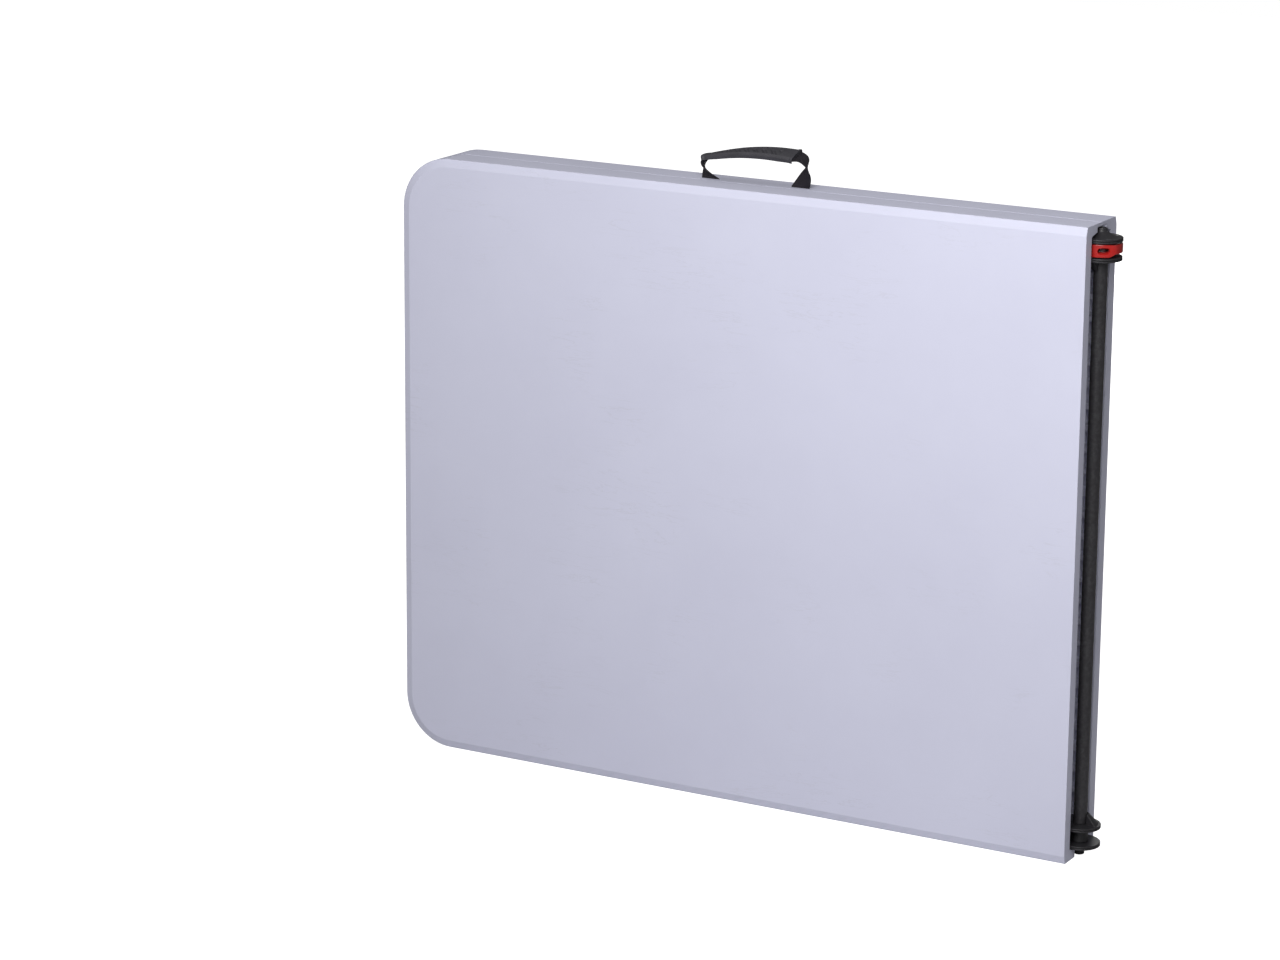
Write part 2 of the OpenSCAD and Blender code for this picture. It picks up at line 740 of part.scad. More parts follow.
brace_short_link(FRONT);  // front_brace_short_link
brace_short_link(REAR);  // rear_brace_short_link
brace_bracket(FRONT);  // front_brace_bracket
brace_bracket(REAR);  // rear_brace_bracket
brace_rivets(FRONT);  // front_brace_rivets
brace_rivets(REAR);  // rear_brace_rivets
lock_ring(FRONT);  // front_lock_ring
lock_ring(REAR);  // rear_lock_ring
leg_clips(FRONT);  // front_leg_clips
leg_clips(REAR);  // rear_leg_clips
screws(FRONT);  // front_screws
screws(REAR);  // rear_screws
handle_grip();
handle_strap();
strap_tails();
strap_anchors();
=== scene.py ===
"""Folding table, shut and standing on one long edge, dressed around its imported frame."""
import json
import logging
import math
from collections.abc import Iterable, Sequence
from dataclasses import dataclass, field
from enum import Enum

import bmesh
import bpy
from mathutils import Matrix, Vector


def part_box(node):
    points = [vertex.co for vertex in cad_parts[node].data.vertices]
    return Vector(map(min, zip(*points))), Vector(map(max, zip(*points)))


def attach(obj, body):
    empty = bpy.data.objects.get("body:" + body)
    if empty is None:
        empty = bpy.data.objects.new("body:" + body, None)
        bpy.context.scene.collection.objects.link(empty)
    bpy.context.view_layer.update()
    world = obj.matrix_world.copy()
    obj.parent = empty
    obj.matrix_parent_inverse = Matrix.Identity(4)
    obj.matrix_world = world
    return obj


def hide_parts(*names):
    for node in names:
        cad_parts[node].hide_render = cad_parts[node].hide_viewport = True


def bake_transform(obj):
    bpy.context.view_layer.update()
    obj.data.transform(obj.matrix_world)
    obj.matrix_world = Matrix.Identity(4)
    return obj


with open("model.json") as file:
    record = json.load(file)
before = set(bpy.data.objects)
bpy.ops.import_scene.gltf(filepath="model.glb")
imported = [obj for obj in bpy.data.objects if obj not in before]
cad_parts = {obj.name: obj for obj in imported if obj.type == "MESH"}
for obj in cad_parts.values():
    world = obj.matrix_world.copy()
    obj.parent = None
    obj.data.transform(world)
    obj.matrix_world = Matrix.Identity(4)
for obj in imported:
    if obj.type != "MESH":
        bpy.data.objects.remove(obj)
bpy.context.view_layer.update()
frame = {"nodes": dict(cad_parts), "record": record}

log = logging.getLogger("folding_table")
MM = 0.001
WELD = 1e-5
NODES = frame["nodes"]
BODY_OF_NODE = {
    node: body
    for body, nodes in frame["record"]["behaviour"]["bodies"].items()
    for node in nodes
}


class Side(Enum):
    """The two halves of the table, by the sign of their Y."""

    FRONT = -1
    REAR = 1

    @property
    def word(self) -> str:
        """The half's name as it starts a node's name."""
        return self.name.lower()

    @property
    def body(self) -> str:
        """The CAD body that the half rides on."""
        return f"{self.word}_half"


class Slot(Enum):
    """The record's material slots."""

    TABLE = "table_plastic"
    LATCH = "latch_plastic"
    GRIP = "grip_plastic"
    BLACK = "black_plastic"
    WEBBING = "webbing"
    COATED = "coated_steel"
    ZINC = "zinc_steel"


# ---------------------------------------------------------------- node trees


class NodeSheet:
    """Adds nodes to one tree and links their sockets."""

    def __init__(self, tree: bpy.types.NodeTree) -> None:
        """Keeps the tree that the nodes go in."""
        self.tree = tree

    def add(self, kind: str, values: dict | None = None, **settings: object) -> bpy.types.Node:
        """Adds a node.

        Args:
            kind: The node's type name.
            values: Input name or index to a constant, or to a socket that is linked to it.
            **settings: Properties of the node.

        Returns:
            The new node.
        """
        node = self.tree.nodes.new(kind)
        for name, value in settings.items():
            setattr(node, name, value)
        for name, value in (values or {}).items():
            if isinstance(value, bpy.types.NodeSocket):
                self.tree.links.new(value, node.inputs[name])
            else:
                node.inputs[name].default_value = value
        return node

    def math(self, operation: str, *values: object) -> bpy.types.NodeSocket:
        """Adds a Math node and returns its output."""
        return self.add("ShaderNodeMath", dict(enumerate(values)), operation=operation).outputs[0]

    def blend(self, mask: object, low: object, high: object) -> bpy.types.NodeSocket:
        """Mixes two colours by a mask and returns the mixed colour."""
        return self.add("ShaderNodeMix", {0: mask, 6: low, 7: high}, data_type="RGBA").outputs[2]

    def spread(self, value: object, low: float, high: float, to_low: float = 0.0,
               to_high: float = 1.0) -> bpy.types.NodeSocket:
        """Maps a range of a value onto another range, clamped, and returns the result."""
        return self.add("ShaderNodeMapRange",
                        {0: value, 1: low, 2: high, 3: to_low, 4: to_high}).outputs[0]


def shader_group(name: str, inputs: dict[str, object], outputs: dict[str, str]) -> NodeSheet:
    """Starts a shader group with named sockets.

    Args:
        name: The group's name.
        inputs: Socket name to its default: a number, a colour of four, or None for a vector.
        outputs: Socket name to Float or Color.

    Returns:
        A sheet on the group's tree, which already holds its input and output nodes.
    """
    tree = bpy.data.node_groups.new(name, "ShaderNodeTree")
    for socket, default in inputs.items():
        kind = "Vector" if default is None else "Color" if isinstance(default, tuple) else "Float"
        made = tree.interface.new_socket(name=socket, in_out="INPUT", socket_type=f"NodeSocket{kind}")
        if default is not None:
            made.default_value = default
    for socket, kind in outputs.items():
        tree.interface.new_socket(name=socket, in_out="OUTPUT", socket_type=f"NodeSocket{kind}")
    tree.nodes.new("NodeGroupInput")
    tree.nodes.new("NodeGroupOutput")
    return NodeSheet(tree)


class Effects:
    """The shader groups that the finishes share."""

    def __init__(self) -> None:
        """Builds each group once."""
        self.mottle = self._mottle()
        self.grain = self._grain()
        self.scuffs = self._scuffs()
        self.edge_wear = self._edge_wear()

    @staticmethod
    def _ends(sheet: NodeSheet) -> tuple[bpy.types.NodeInputs, bpy.types.NodeOutputs]:
        """Returns the sockets that come into a group and those that go out of it."""
        nodes = sheet.tree.nodes
        return nodes["Group Input"].outputs, nodes["Group Output"].inputs

    def _mottle(self) -> bpy.types.NodeTree:
        """Slow cloudy variation between two colours."""
        sheet = shader_group("Mottle", {"Vector": None, "Scale": 8.0, "Low": (0.5, 0.5, 0.5, 1),
                                        "High": (0.6, 0.6, 0.6, 1)}, {"Color": "Color", "Mask": "Float"})
        given, result = self._ends(sheet)
        noise = sheet.add("ShaderNodeTexNoise", {"Vector": given["Vector"], "Scale": given["Scale"],
                                                 "Detail": 5.0, "Roughness": 0.62})
        mask = sheet.spread(noise.outputs[0], 0.32, 0.68)
        sheet.tree.links.new(sheet.blend(mask, given["Low"], given["High"]), result["Color"])
        sheet.tree.links.new(mask, result["Mask"])
        return sheet.tree

    def _grain(self) -> bpy.types.NodeTree:
        """Fine moulded or sprayed grain, as a height from 0 to 1."""
        sheet = shader_group("Grain", {"Vector": None, "Scale": 900.0, "Pebble": 0.5}, {"Height": "Float"})
        given, result = self._ends(sheet)
        noise = sheet.add("ShaderNodeTexNoise", {"Vector": given["Vector"], "Scale": given["Scale"],
                                                 "Detail": 3.0, "Roughness": 0.55})
        cells = sheet.add("ShaderNodeTexVoronoi", {"Vector": given["Vector"], "Scale": given["Scale"]},
                          feature="SMOOTH_F1")
        pebble = sheet.math("MULTIPLY", cells.outputs["Distance"], given["Pebble"])
        sheet.tree.links.new(sheet.math("ADD", noise.outputs[0], pebble), result["Height"])
        return sheet.tree

    def _scuffs(self) -> bpy.types.NodeTree:
        """Thin broken scratches that run mostly one way, as a mask."""
        sheet = shader_group("Scuffs", {"Vector": None, "Scale": 14.0, "Amount": 0.5}, {"Mask": "Float"})
        given, result = self._ends(sheet)
        stretched = sheet.add("ShaderNodeMapping", {"Vector": given["Vector"], "Rotation": (0.3, 0.5, 0.4),
                                                    "Scale": (1.0, 9.0, 7.0)})
        lines = sheet.add("ShaderNodeTexNoise", {"Vector": stretched.outputs[0], "Scale": given["Scale"],
                                                 "Detail": 6.0, "Roughness": 0.6, "Distortion": 0.6})
        ridge = sheet.math("ABSOLUTE", sheet.math("SUBTRACT", lines.outputs[0], 0.5))
        thin = sheet.spread(ridge, 0.0, 0.012, 1.0, 0.0)
        patches = sheet.add("ShaderNodeTexNoise", {"Vector": given["Vector"], "Scale": given["Scale"],
                                                   "Detail": 2.0})
        held = sheet.spread(patches.outputs[0], 0.52, 0.66)
        mask = sheet.math("MULTIPLY", sheet.math("MULTIPLY", thin, held), given["Amount"])
        sheet.tree.links.new(mask, result["Mask"])
        return sheet.tree

    def _edge_wear(self) -> bpy.types.NodeTree:
        """Wear on the outward edges, broken up by noise, as a mask."""
        sheet = shader_group("Edge wear", {"Vector": None, "Scale": 120.0, "Amount": 0.5}, {"Mask": "Float"})
        given, result = self._ends(sheet)
        pointed = sheet.add("ShaderNodeNewGeometry").outputs["Pointiness"]
        edge = sheet.spread(pointed, 0.53, 0.62)
        noise = sheet.add("ShaderNodeTexNoise", {"Vector": given["Vector"], "Scale": given["Scale"],
                                                 "Detail": 4.0, "Roughness": 0.7})
        broken = sheet.spread(noise.outputs[0], 0.45, 0.6)
        mask = sheet.math("MULTIPLY", sheet.math("MULTIPLY", edge, broken), given["Amount"])
        sheet.tree.links.new(mask, result["Mask"])
        return sheet.tree


# ------------------------------------------------------------------ finishes

Colour = tuple[float, float, float]


@dataclass(frozen=True)
class Finish:
    """A moulded or coated finish: cloudy colour, fine grain, scuffs and worn edges."""

    name: str
    slot: Slot
    low: Colour
    high: Colour
    worn: Colour
    roughness: float
    cloud_scale: float = 7.0
    grain_scale: float = 900.0
    grain_depth: float = 0.05 * MM
    pebble: float = 0.6
    scuff: float = 0.4
    scuff_scale: float = 12.0
    wear: float = 0.4
    wear_scale: float = 150.0
    metallic: float = 0.0
    bare_metal: float = 0.0
    specular: float = 0.5

    def place(self, sheet: NodeSheet) -> bpy.types.NodeSocket:
        """Returns the coordinates that the patterns read."""
        return sheet.add("ShaderNodeTexCoord").outputs["Object"]

    def height(self, sheet: NodeSheet, effects: Effects, place: bpy.types.NodeSocket) -> bpy.types.NodeSocket:
        """Returns the height of the finish's surface."""
        return self.use(sheet, effects.grain,
                        {"Vector": place, "Scale": self.grain_scale, "Pebble": self.pebble}).outputs["Height"]

    def colour(self, sheet: NodeSheet, effects: Effects, place: bpy.types.NodeSocket) -> bpy.types.Node:
        """Returns the node that gives the clean colour and its mask."""
        return self.use(sheet, effects.mottle, {"Vector": place, "Scale": self.cloud_scale,
                                                "Low": (*self.low, 1), "High": (*self.high, 1)})

    @staticmethod
    def use(sheet: NodeSheet, group: bpy.types.NodeTree, values: dict) -> bpy.types.Node:
        """Places a shared group in a material with its own values."""
        node = sheet.add("ShaderNodeGroup", node_tree=group)
        for name, value in values.items():
            if isinstance(value, bpy.types.NodeSocket):
                sheet.tree.links.new(value, node.inputs[name])
            else:
                node.inputs[name].default_value = value
        return node

    def material(self, effects: Effects) -> bpy.types.Material:
        """Builds the finish's material.

        Args:
            effects: The shared shader groups.

        Returns:
            The material, with every varying effect from nodes and constants on the shader.
        """
        made = bpy.data.materials.new(self.name)
        made.use_nodes = True
        made.diffuse_color = (*self.high, 1)
        sheet = NodeSheet(made.node_tree)
        shader = made.node_tree.nodes["Principled BSDF"]
        place = self.place(sheet)
        clean = self.colour(sheet, effects, place)
        scuffs = self.use(sheet, effects.scuffs,
                          {"Vector": place, "Scale": self.scuff_scale, "Amount": self.scuff}).outputs["Mask"]
        wear = self.use(sheet, effects.edge_wear,
                        {"Vector": place, "Scale": self.wear_scale, "Amount": self.wear}).outputs["Mask"]
        marked = sheet.math("MAXIMUM", scuffs, wear)
        made.node_tree.links.new(sheet.blend(marked, clean.outputs["Color"], (*self.worn, 1)),
                                 shader.inputs["Base Color"])
        cloudy = sheet.spread(clean.outputs["Mask"], 0.0, 1.0, self.roughness - 0.04, self.roughness + 0.05)
        rough = sheet.math("ADD", cloudy, sheet.math("MULTIPLY", marked, 0.15))
        made.node_tree.links.new(rough, shader.inputs["Roughness"])
        if self.bare_metal:
            metal = sheet.math("MULTIPLY", marked, self.bare_metal)
            made.node_tree.links.new(metal, shader.inputs["Metallic"])
        else:
            shader.inputs["Metallic"].default_value = self.metallic
        shader.inputs["Specular IOR Level"].default_value = self.specular
        bump = sheet.add("ShaderNodeBump", {"Strength": 1.0, "Distance": self.grain_depth,
                                            "Height": self.height(sheet, effects, place)})
        made.node_tree.links.new(bump.outputs[0], shader.inputs["Normal"])
        return made


@dataclass(frozen=True)
class ZincFinish(Finish):
    """Zinc plating: metal with faint crystals instead of clouds."""

    def colour(self, sheet: NodeSheet, effects: Effects, place: bpy.types.NodeSocket) -> bpy.types.Node:
        """Returns a mottle whose coordinates are snapped to crystal cells."""
        cells = sheet.add("ShaderNodeTexVoronoi", {"Vector": place, "Scale": self.cloud_scale * 12})
        mixed = sheet.add("ShaderNodeVectorMath", {0: place, 1: cells.outputs["Color"]}, operation="ADD")
        return self.use(sheet, effects.mottle, {"Vector": mixed.outputs[0], "Scale": self.cloud_scale,
                                                "Low": (*self.low, 1), "High": (*self.high, 1)})


@dataclass(frozen=True)
class WebbingFinish(Finish):
    """Woven nylon: ribs and picks that follow the strap's own map, which is in millimetres."""

    rib: float = 1.5
    pick: float = 1.1

    def place(self, sheet: NodeSheet) -> bpy.types.NodeSocket:
        """Returns the strap's own map."""
        return sheet.add("ShaderNodeUVMap", uv_map="weave").outputs[0]

    def height(self, sheet: NodeSheet, effects: Effects, place: bpy.types.NodeSocket) -> bpy.types.NodeSocket:
        """Returns the height of the weave: every second rib is half a pick further on."""
        across, along = sheet.add("ShaderNodeSeparateXYZ", {0: place}).outputs[:2]
        ribs = sheet.math("MULTIPLY", across, math.tau / self.rib)
        offset = sheet.math("MULTIPLY", sheet.math("PINGPONG", across, self.rib), math.pi / self.rib)
        picks = sheet.math("ADD", sheet.math("MULTIPLY", along, math.tau / self.pick), offset)
        woven = sheet.math("MULTIPLY", sheet.math("ABSOLUTE", sheet.math("SINE", ribs)),
                           sheet.spread(sheet.math("SINE", picks), -1.0, 1.0, 0.55, 1.0))
        fuzz = self.use(sheet, effects.grain, {"Vector": place, "Scale": 4.0, "Pebble": 0.3})
        return sheet.math("ADD", woven, sheet.math("MULTIPLY", fuzz.outputs["Height"], 0.25))


FINISHES = {
    Slot.TABLE: Finish("moulded polyethylene", Slot.TABLE, (0.600, 0.605, 0.735), (0.622, 0.628, 0.758),
                       (0.50, 0.50, 0.58), 0.5, specular=0.35, cloud_scale=5.0, grain_scale=700.0,
                       grain_depth=0.06 * MM, scuff=0.35, scuff_scale=9.0, wear=0.15),
    Slot.LATCH: Finish("red acetal", Slot.LATCH, (0.360, 0.010, 0.009), (0.430, 0.013, 0.011),
                       (0.55, 0.10, 0.09), 0.34, cloud_scale=60.0, grain_scale=2600.0,
                       grain_depth=0.02 * MM, scuff=0.3, scuff_scale=60.0, wear=0.5, wear_scale=300.0),
    Slot.GRIP: Finish("black moulded grip", Slot.GRIP, (0.030, 0.029, 0.035), (0.040, 0.038, 0.047),
                      (0.10, 0.10, 0.11), 0.5, cloud_scale=45.0, grain_scale=1900.0,
                      grain_depth=0.05 * MM, scuff=0.3, scuff_scale=50.0, wear=0.5),
    Slot.BLACK: Finish("black nylon", Slot.BLACK, (0.020, 0.020, 0.022), (0.030, 0.030, 0.033),
                       (0.09, 0.09, 0.10), 0.48, cloud_scale=50.0, grain_scale=1600.0,
                       grain_depth=0.04 * MM, scuff=0.3, scuff_scale=40.0),
    Slot.WEBBING: WebbingFinish("black webbing", Slot.WEBBING, (0.013, 0.011, 0.016), (0.020, 0.017, 0.023),
                                (0.05, 0.05, 0.055), 0.72, cloud_scale=0.12, grain_depth=0.35 * MM,
                                scuff=0.2, scuff_scale=0.1, wear=0.25, wear_scale=0.4, specular=0.3),
    Slot.COATED: Finish("charcoal powder coat", Slot.COATED, (0.0215, 0.0205, 0.023), (0.025, 0.024, 0.027),
                        (0.20, 0.20, 0.21), 0.42, cloud_scale=14.0, grain_scale=1300.0,
                        grain_depth=0.04 * MM, pebble=0.8, scuff=0.3, scuff_scale=22.0, wear=0.45,
                        wear_scale=260.0, bare_metal=0.8, specular=0.4),
    Slot.ZINC: ZincFinish("zinc plate", Slot.ZINC, (0.50, 0.51, 0.53), (0.66, 0.67, 0.69),
                          (0.36, 0.36, 0.36), 0.36, cloud_scale=9.0, grain_scale=1300.0,
                          grain_depth=0.012 * MM, scuff=0.5, scuff_scale=40.0, wear=0.2, metallic=1.0),
}


class Paintbox:
    """Makes each finish's material once."""

    def __init__(self) -> None:
        """Builds the shared effects, then every material."""
        effects = Effects()
        self.materials = {slot: finish.material(effects) for slot, finish in FINISHES.items()}
        log.info("%d finishes over %d shared effects", len(self.materials), 4)

    def __getitem__(self, slot: Slot) -> bpy.types.Material:
        """The material of a slot."""
        return self.materials[slot]


# --------------------------------------------------------------- mesh helpers


def object_from(bm: bmesh.types.BMesh, name: str) -> bpy.types.Object:
    """Puts a bmesh in a new object at the origin and frees it.

    Args:
        bm: The shape, in the frame's own coordinates.
        name: The object's name.

    Returns:
        The object, linked to the scene.
    """
    mesh = bpy.data.meshes.new(name)
    bm.to_mesh(mesh)
    bm.free()
    obj = bpy.data.objects.new(name, mesh)
    bpy.context.scene.collection.objects.link(obj)
    return obj


def baked(obj: bpy.types.Object) -> bpy.types.Object:
    """Turns an object with live modifiers into a plain mesh object of the same name.

    Args:
        obj: The object, which is removed.

    Returns:
        The plain object.
    """
    name = obj.name
    depsgraph = bpy.context.evaluated_depsgraph_get()
    mesh = bpy.data.meshes.new_from_object(obj.evaluated_get(depsgraph), depsgraph=depsgraph)
    bpy.data.objects.remove(obj)
    mesh.name = name
    plain = bpy.data.objects.new(name, mesh)
    bpy.context.scene.collection.objects.link(plain)
    return plain


def smoothed(obj: bpy.types.Object, crease: float = 35.0) -> bpy.types.Object:
    """Shades a mesh smooth, with its flat faces kept flat and its sharp edges kept sharp.

    Args:
        obj: The mesh object.
        crease: The angle in degrees from which an edge stays sharp.

    Returns:
        The shaded object.
    """
    obj.data.shade_smooth()
    obj.data.set_sharp_from_angle(angle=math.radians(crease))
    even = obj.modifiers.new("even normals", "WEIGHTED_NORMAL")
    even.keep_sharp = True
    return baked(obj)


def rounded(obj: bpy.types.Object, radius: float, segments: int = 3, limit: float = 38.0) -> bpy.types.Object:
    """Rounds an object's edges and shades it.

    Args:
        obj: The mesh object.
        radius: The width of the rounding.
        segments: The steps across the rounding.
        limit: The angle in degrees from which an edge is rounded.

    Returns:
        The rounded object.
    """
    bevel = obj.modifiers.new("rounding", "BEVEL")
    bevel.width = radius
    bevel.segments = segments
    bevel.limit_method = "ANGLE"
    bevel.angle_limit = math.radians(limit)
    return smoothed(baked(obj))


def copied(node: str) -> bmesh.types.BMesh:
    """Copies a CAD node's mesh, welds its loose triangles and clears its flat faces."""
    bm = bmesh.new()
    bm.from_mesh(NODES[node].data)
    bmesh.ops.remove_doubles(bm, verts=bm.verts, dist=WELD)
    bmesh.ops.dissolve_limit(bm, angle_limit=math.radians(0.5), verts=bm.verts, edges=bm.edges)
    return bm


def islands(node: str) -> list[tuple[Vector, Vector]]:
    """Finds the separate solids of a CAD node.

    Args:
        node: The node's name.

    Returns:
        The lowest and highest corner of each solid, from the lowest X and Z up.
    """
    bm = bmesh.new()
    bm.from_mesh(NODES[node].data)
    bmesh.ops.remove_doubles(bm, verts=bm.verts, dist=WELD)
    left = set(bm.verts)
    found = []
    while left:
        queue = [left.pop()]
        group = []
        while queue:
            vert = queue.pop()
            group.append(vert.co.copy())
            for edge in vert.link_edges:
                other = edge.other_vert(vert)
                if other in left:
                    left.remove(other)
                    queue.append(other)
        found.append((Vector(map(min, *group)), Vector(map(max, *group))))
    bm.free()
    return sorted(found, key=lambda corners: (round(corners[0].x, 4), corners[0].z))


def filleted(corners: Sequence[tuple[float, float]], radii: Sequence[float], steps: int = 4) -> list[Vector]:
    """Rounds the inner corners of an open outline.

    Args:
        corners: The outline's corners.
        radii: The radius at each corner, 0 where it stays sharp.
        steps: The steps round each corner.

    Returns:
        The points of the rounded outline.
    """
    points = []
    for i, (corner, radius) in enumerate(zip(corners, radii)):
        here = Vector(corner)
        if not radius or i in (0, len(corners) - 1):
            points.append(here)
            continue
        back = (Vector(corners[i - 1]) - here).normalized()
        ahead = (Vector(corners[i + 1]) - here).normalized()
        half = back.angle(ahead) / 2
        centre = here + (back + ahead).normalized() * (radius / math.sin(half))
        start = (here + back * (radius / math.tan(half)) - centre).normalized()
        end = (here + ahead * (radius / math.tan(half)) - centre).normalized()
        for step in range(steps + 1):
            points.append(centre + start.slerp(end, step / steps) * radius)
    return points


def lofted(rows: Sequence[Sequence[Vector]], name: str, weave: Sequence[Sequence[tuple]] | None = None,
           capped: bool = True) -> bpy.types.Object:
    """Joins closed rings of points into one closed skin.

    Args:
        rows: The rings, all with the same number of points.
        name: The object's name.
        weave: For each ring, the map coordinates of its points and of its first point again.
        capped: True if the two ends are closed with a face, and False if the last ring meets the first.

    Returns:
        The object, with its faces outwards.
    """
    bm = bmesh.new()
    rings = [[bm.verts.new(point) for point in row] for row in rows]
    layer = bm.loops.layers.uv.new("weave") if weave else None
    count = len(rings[0])
    spans = len(rings) - 1 if capped else len(rings)
    for i in range(spans):
        a, b = rings[i], rings[(i + 1) % len(rings)]
        for j in range(count):
            k = (j + 1) % count
            face = bm.faces.new((a[j], a[k], b[k], b[j]))
            if layer:
                for loop, (row, column) in zip(face.loops, ((i, j), (i, j + 1), (i + 1, j + 1), (i + 1, j))):
                    loop[layer].uv = weave[row][column]
    if capped:
        bm.faces.new(rings[0])
        bm.faces.new(rings[-1])
    bmesh.ops.recalc_face_normals(bm, faces=bm.faces)
    return object_from(bm, name)


def lathed(profile: Sequence[tuple[float, float]], x: float, y: float, name: str,
           sides: int = 48) -> bpy.types.Object:
    """Turns a profile about an upright axis.

    Args:
        profile: Points of (radius, height). It starts and ends on the axis, or closes into a ring.
        x: The X of the axis.
        y: The Y of the axis.
        name: The object's name.
        sides: The steps round the axis.

    Returns:
        The closed object, with its faces outwards.
    """
    bm = bmesh.new()
    rings = []
    for radius, height in profile:
        turns = [math.tau * i / sides for i in range(sides)] if radius else [0.0]
        rings.append([bm.verts.new((x + radius * math.cos(t), y + radius * math.sin(t), height))
                      for t in turns])
    pairs = list(zip(rings, rings[1:]))
    if profile[0][0]:
        pairs.append((rings[-1], rings[0]))
    for a, b in pairs:
        for i in range(sides):
            k = (i + 1) % sides
            corners = [a[i % len(a)], a[k % len(a)], b[k % len(b)], b[i % len(b)]]
            bm.faces.new(list(dict.fromkeys(corners)))
    bmesh.ops.recalc_face_normals(bm, faces=bm.faces)
    return object_from(bm, name)


def merged(name: str, *objects: bpy.types.Object) -> bpy.types.Object:
    """Puts several plain meshes in one object and removes the originals."""
    bm = bmesh.new()
    for obj in objects:
        bm.from_mesh(obj.data)
        bpy.data.objects.remove(obj)
    return object_from(bm, name)


def cut(obj: bpy.types.Object, tools: Iterable[bpy.types.Object]) -> bpy.types.Object:
    """Cuts closed tools out of a closed object and removes the tools."""
    tools = list(tools)
    for tool in tools:
        difference = obj.modifiers.new(tool.name, "BOOLEAN")
        difference.operation = "DIFFERENCE"
        difference.solver = "EXACT"
        difference.object = tool
    result = baked(obj)
    for tool in tools:
        bpy.data.objects.remove(tool)
    return result


def block(low: Sequence[float], high: Sequence[float], name: str) -> bpy.types.Object:
    """Makes a plain block that is used as a cutting tool."""
    bm = bmesh.new()
    size = Vector(high) - Vector(low)
    place = Matrix.Translation((Vector(low) + Vector(high)) / 2) @ Matrix.Diagonal((*size, 1))
    bmesh.ops.create_cube(bm, size=1, matrix=place)
    return object_from(bm, name)


def dress(obj: bpy.types.Object, slot: Slot, body: str, paint: Paintbox, nodes: Sequence[str] = ()) -> None:
    """Gives a finished piece its material, its slot and the body that it rides on.

    Args:
        obj: The piece.
        slot: The record's material slot.
        body: The CAD body.
        paint: The materials.
        nodes: The CAD nodes that the piece stands for.
    """
    obj.data.materials.clear()
    obj.data.materials.append(paint[slot])
    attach(obj, body)
    if nodes:
        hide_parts(*nodes)
    log.info("%s: %d faces on %s", obj.name, len(obj.data.polygons), body)


def dress_copy(node: str, radius: float, slot: Slot, paint: Paintbox, segments: int = 2) -> None:
    """Stands a welded copy of a CAD node, with rounded edges, in for it."""
    piece = rounded(object_from(copied(node), f"{node}_finished"), radius, segments)
    dress(piece, slot, BODY_OF_NODE[node], paint, [node])


# ------------------------------------------------------------- geometry nodes


class GeometrySheet(NodeSheet):
    """A Geometry Nodes tree with named inputs, which ends in Realize Instances and Set Material."""

    def __init__(self, name: str, inputs: dict[str, str]) -> None:
        """Starts the tree.

        Args:
            name: The tree's name.
            inputs: Socket name to its kind, such as Float or Object.
        """
        super().__init__(bpy.data.node_groups.new(name, "GeometryNodeTree"))
        face = self.tree.interface
        face.new_socket(name="Geometry", in_out="INPUT", socket_type="NodeSocketGeometry")
        for socket, kind in {**inputs, "Material": "Material"}.items():
            face.new_socket(name=socket, in_out="INPUT", socket_type=f"NodeSocket{kind}")
        face.new_socket(name="Geometry", in_out="OUTPUT", socket_type="NodeSocketGeometry")
        self.given = self.tree.nodes.new("NodeGroupInput").outputs

    def close(self, geometry: bpy.types.NodeSocket) -> None:
        """Ends the tree with real geometry, smooth, in its material."""
        real = self.add("GeometryNodeRealizeInstances", {0: geometry})
        smooth = self.add("GeometryNodeSetShadeSmooth", {"Geometry": real.outputs[0]})
        painted = self.add("GeometryNodeSetMaterial", {"Geometry": smooth.outputs[0],
                                                       "Material": self.given["Material"]})
        self.add("NodeGroupOutput", {0: painted.outputs[0]})

    def run(self, start: bpy.types.Object, values: dict[str, object]) -> bpy.types.Object:
        """Runs the tree on an object and returns the result as a plain mesh.

        Args:
            start: The object that the tree starts from, which is removed.
            values: Input name to its value.

        Returns:
            The result, as a plain object with the same name.
        """
        modifier = start.modifiers.new("tree", "NODES")
        modifier.node_group = self.tree
        names = {item.name: item.identifier for item in self.tree.interface.items_tree
                 if item.in_out == "INPUT"}
        for name, value in values.items():
            modifier[names[name]] = value
        return baked(start)


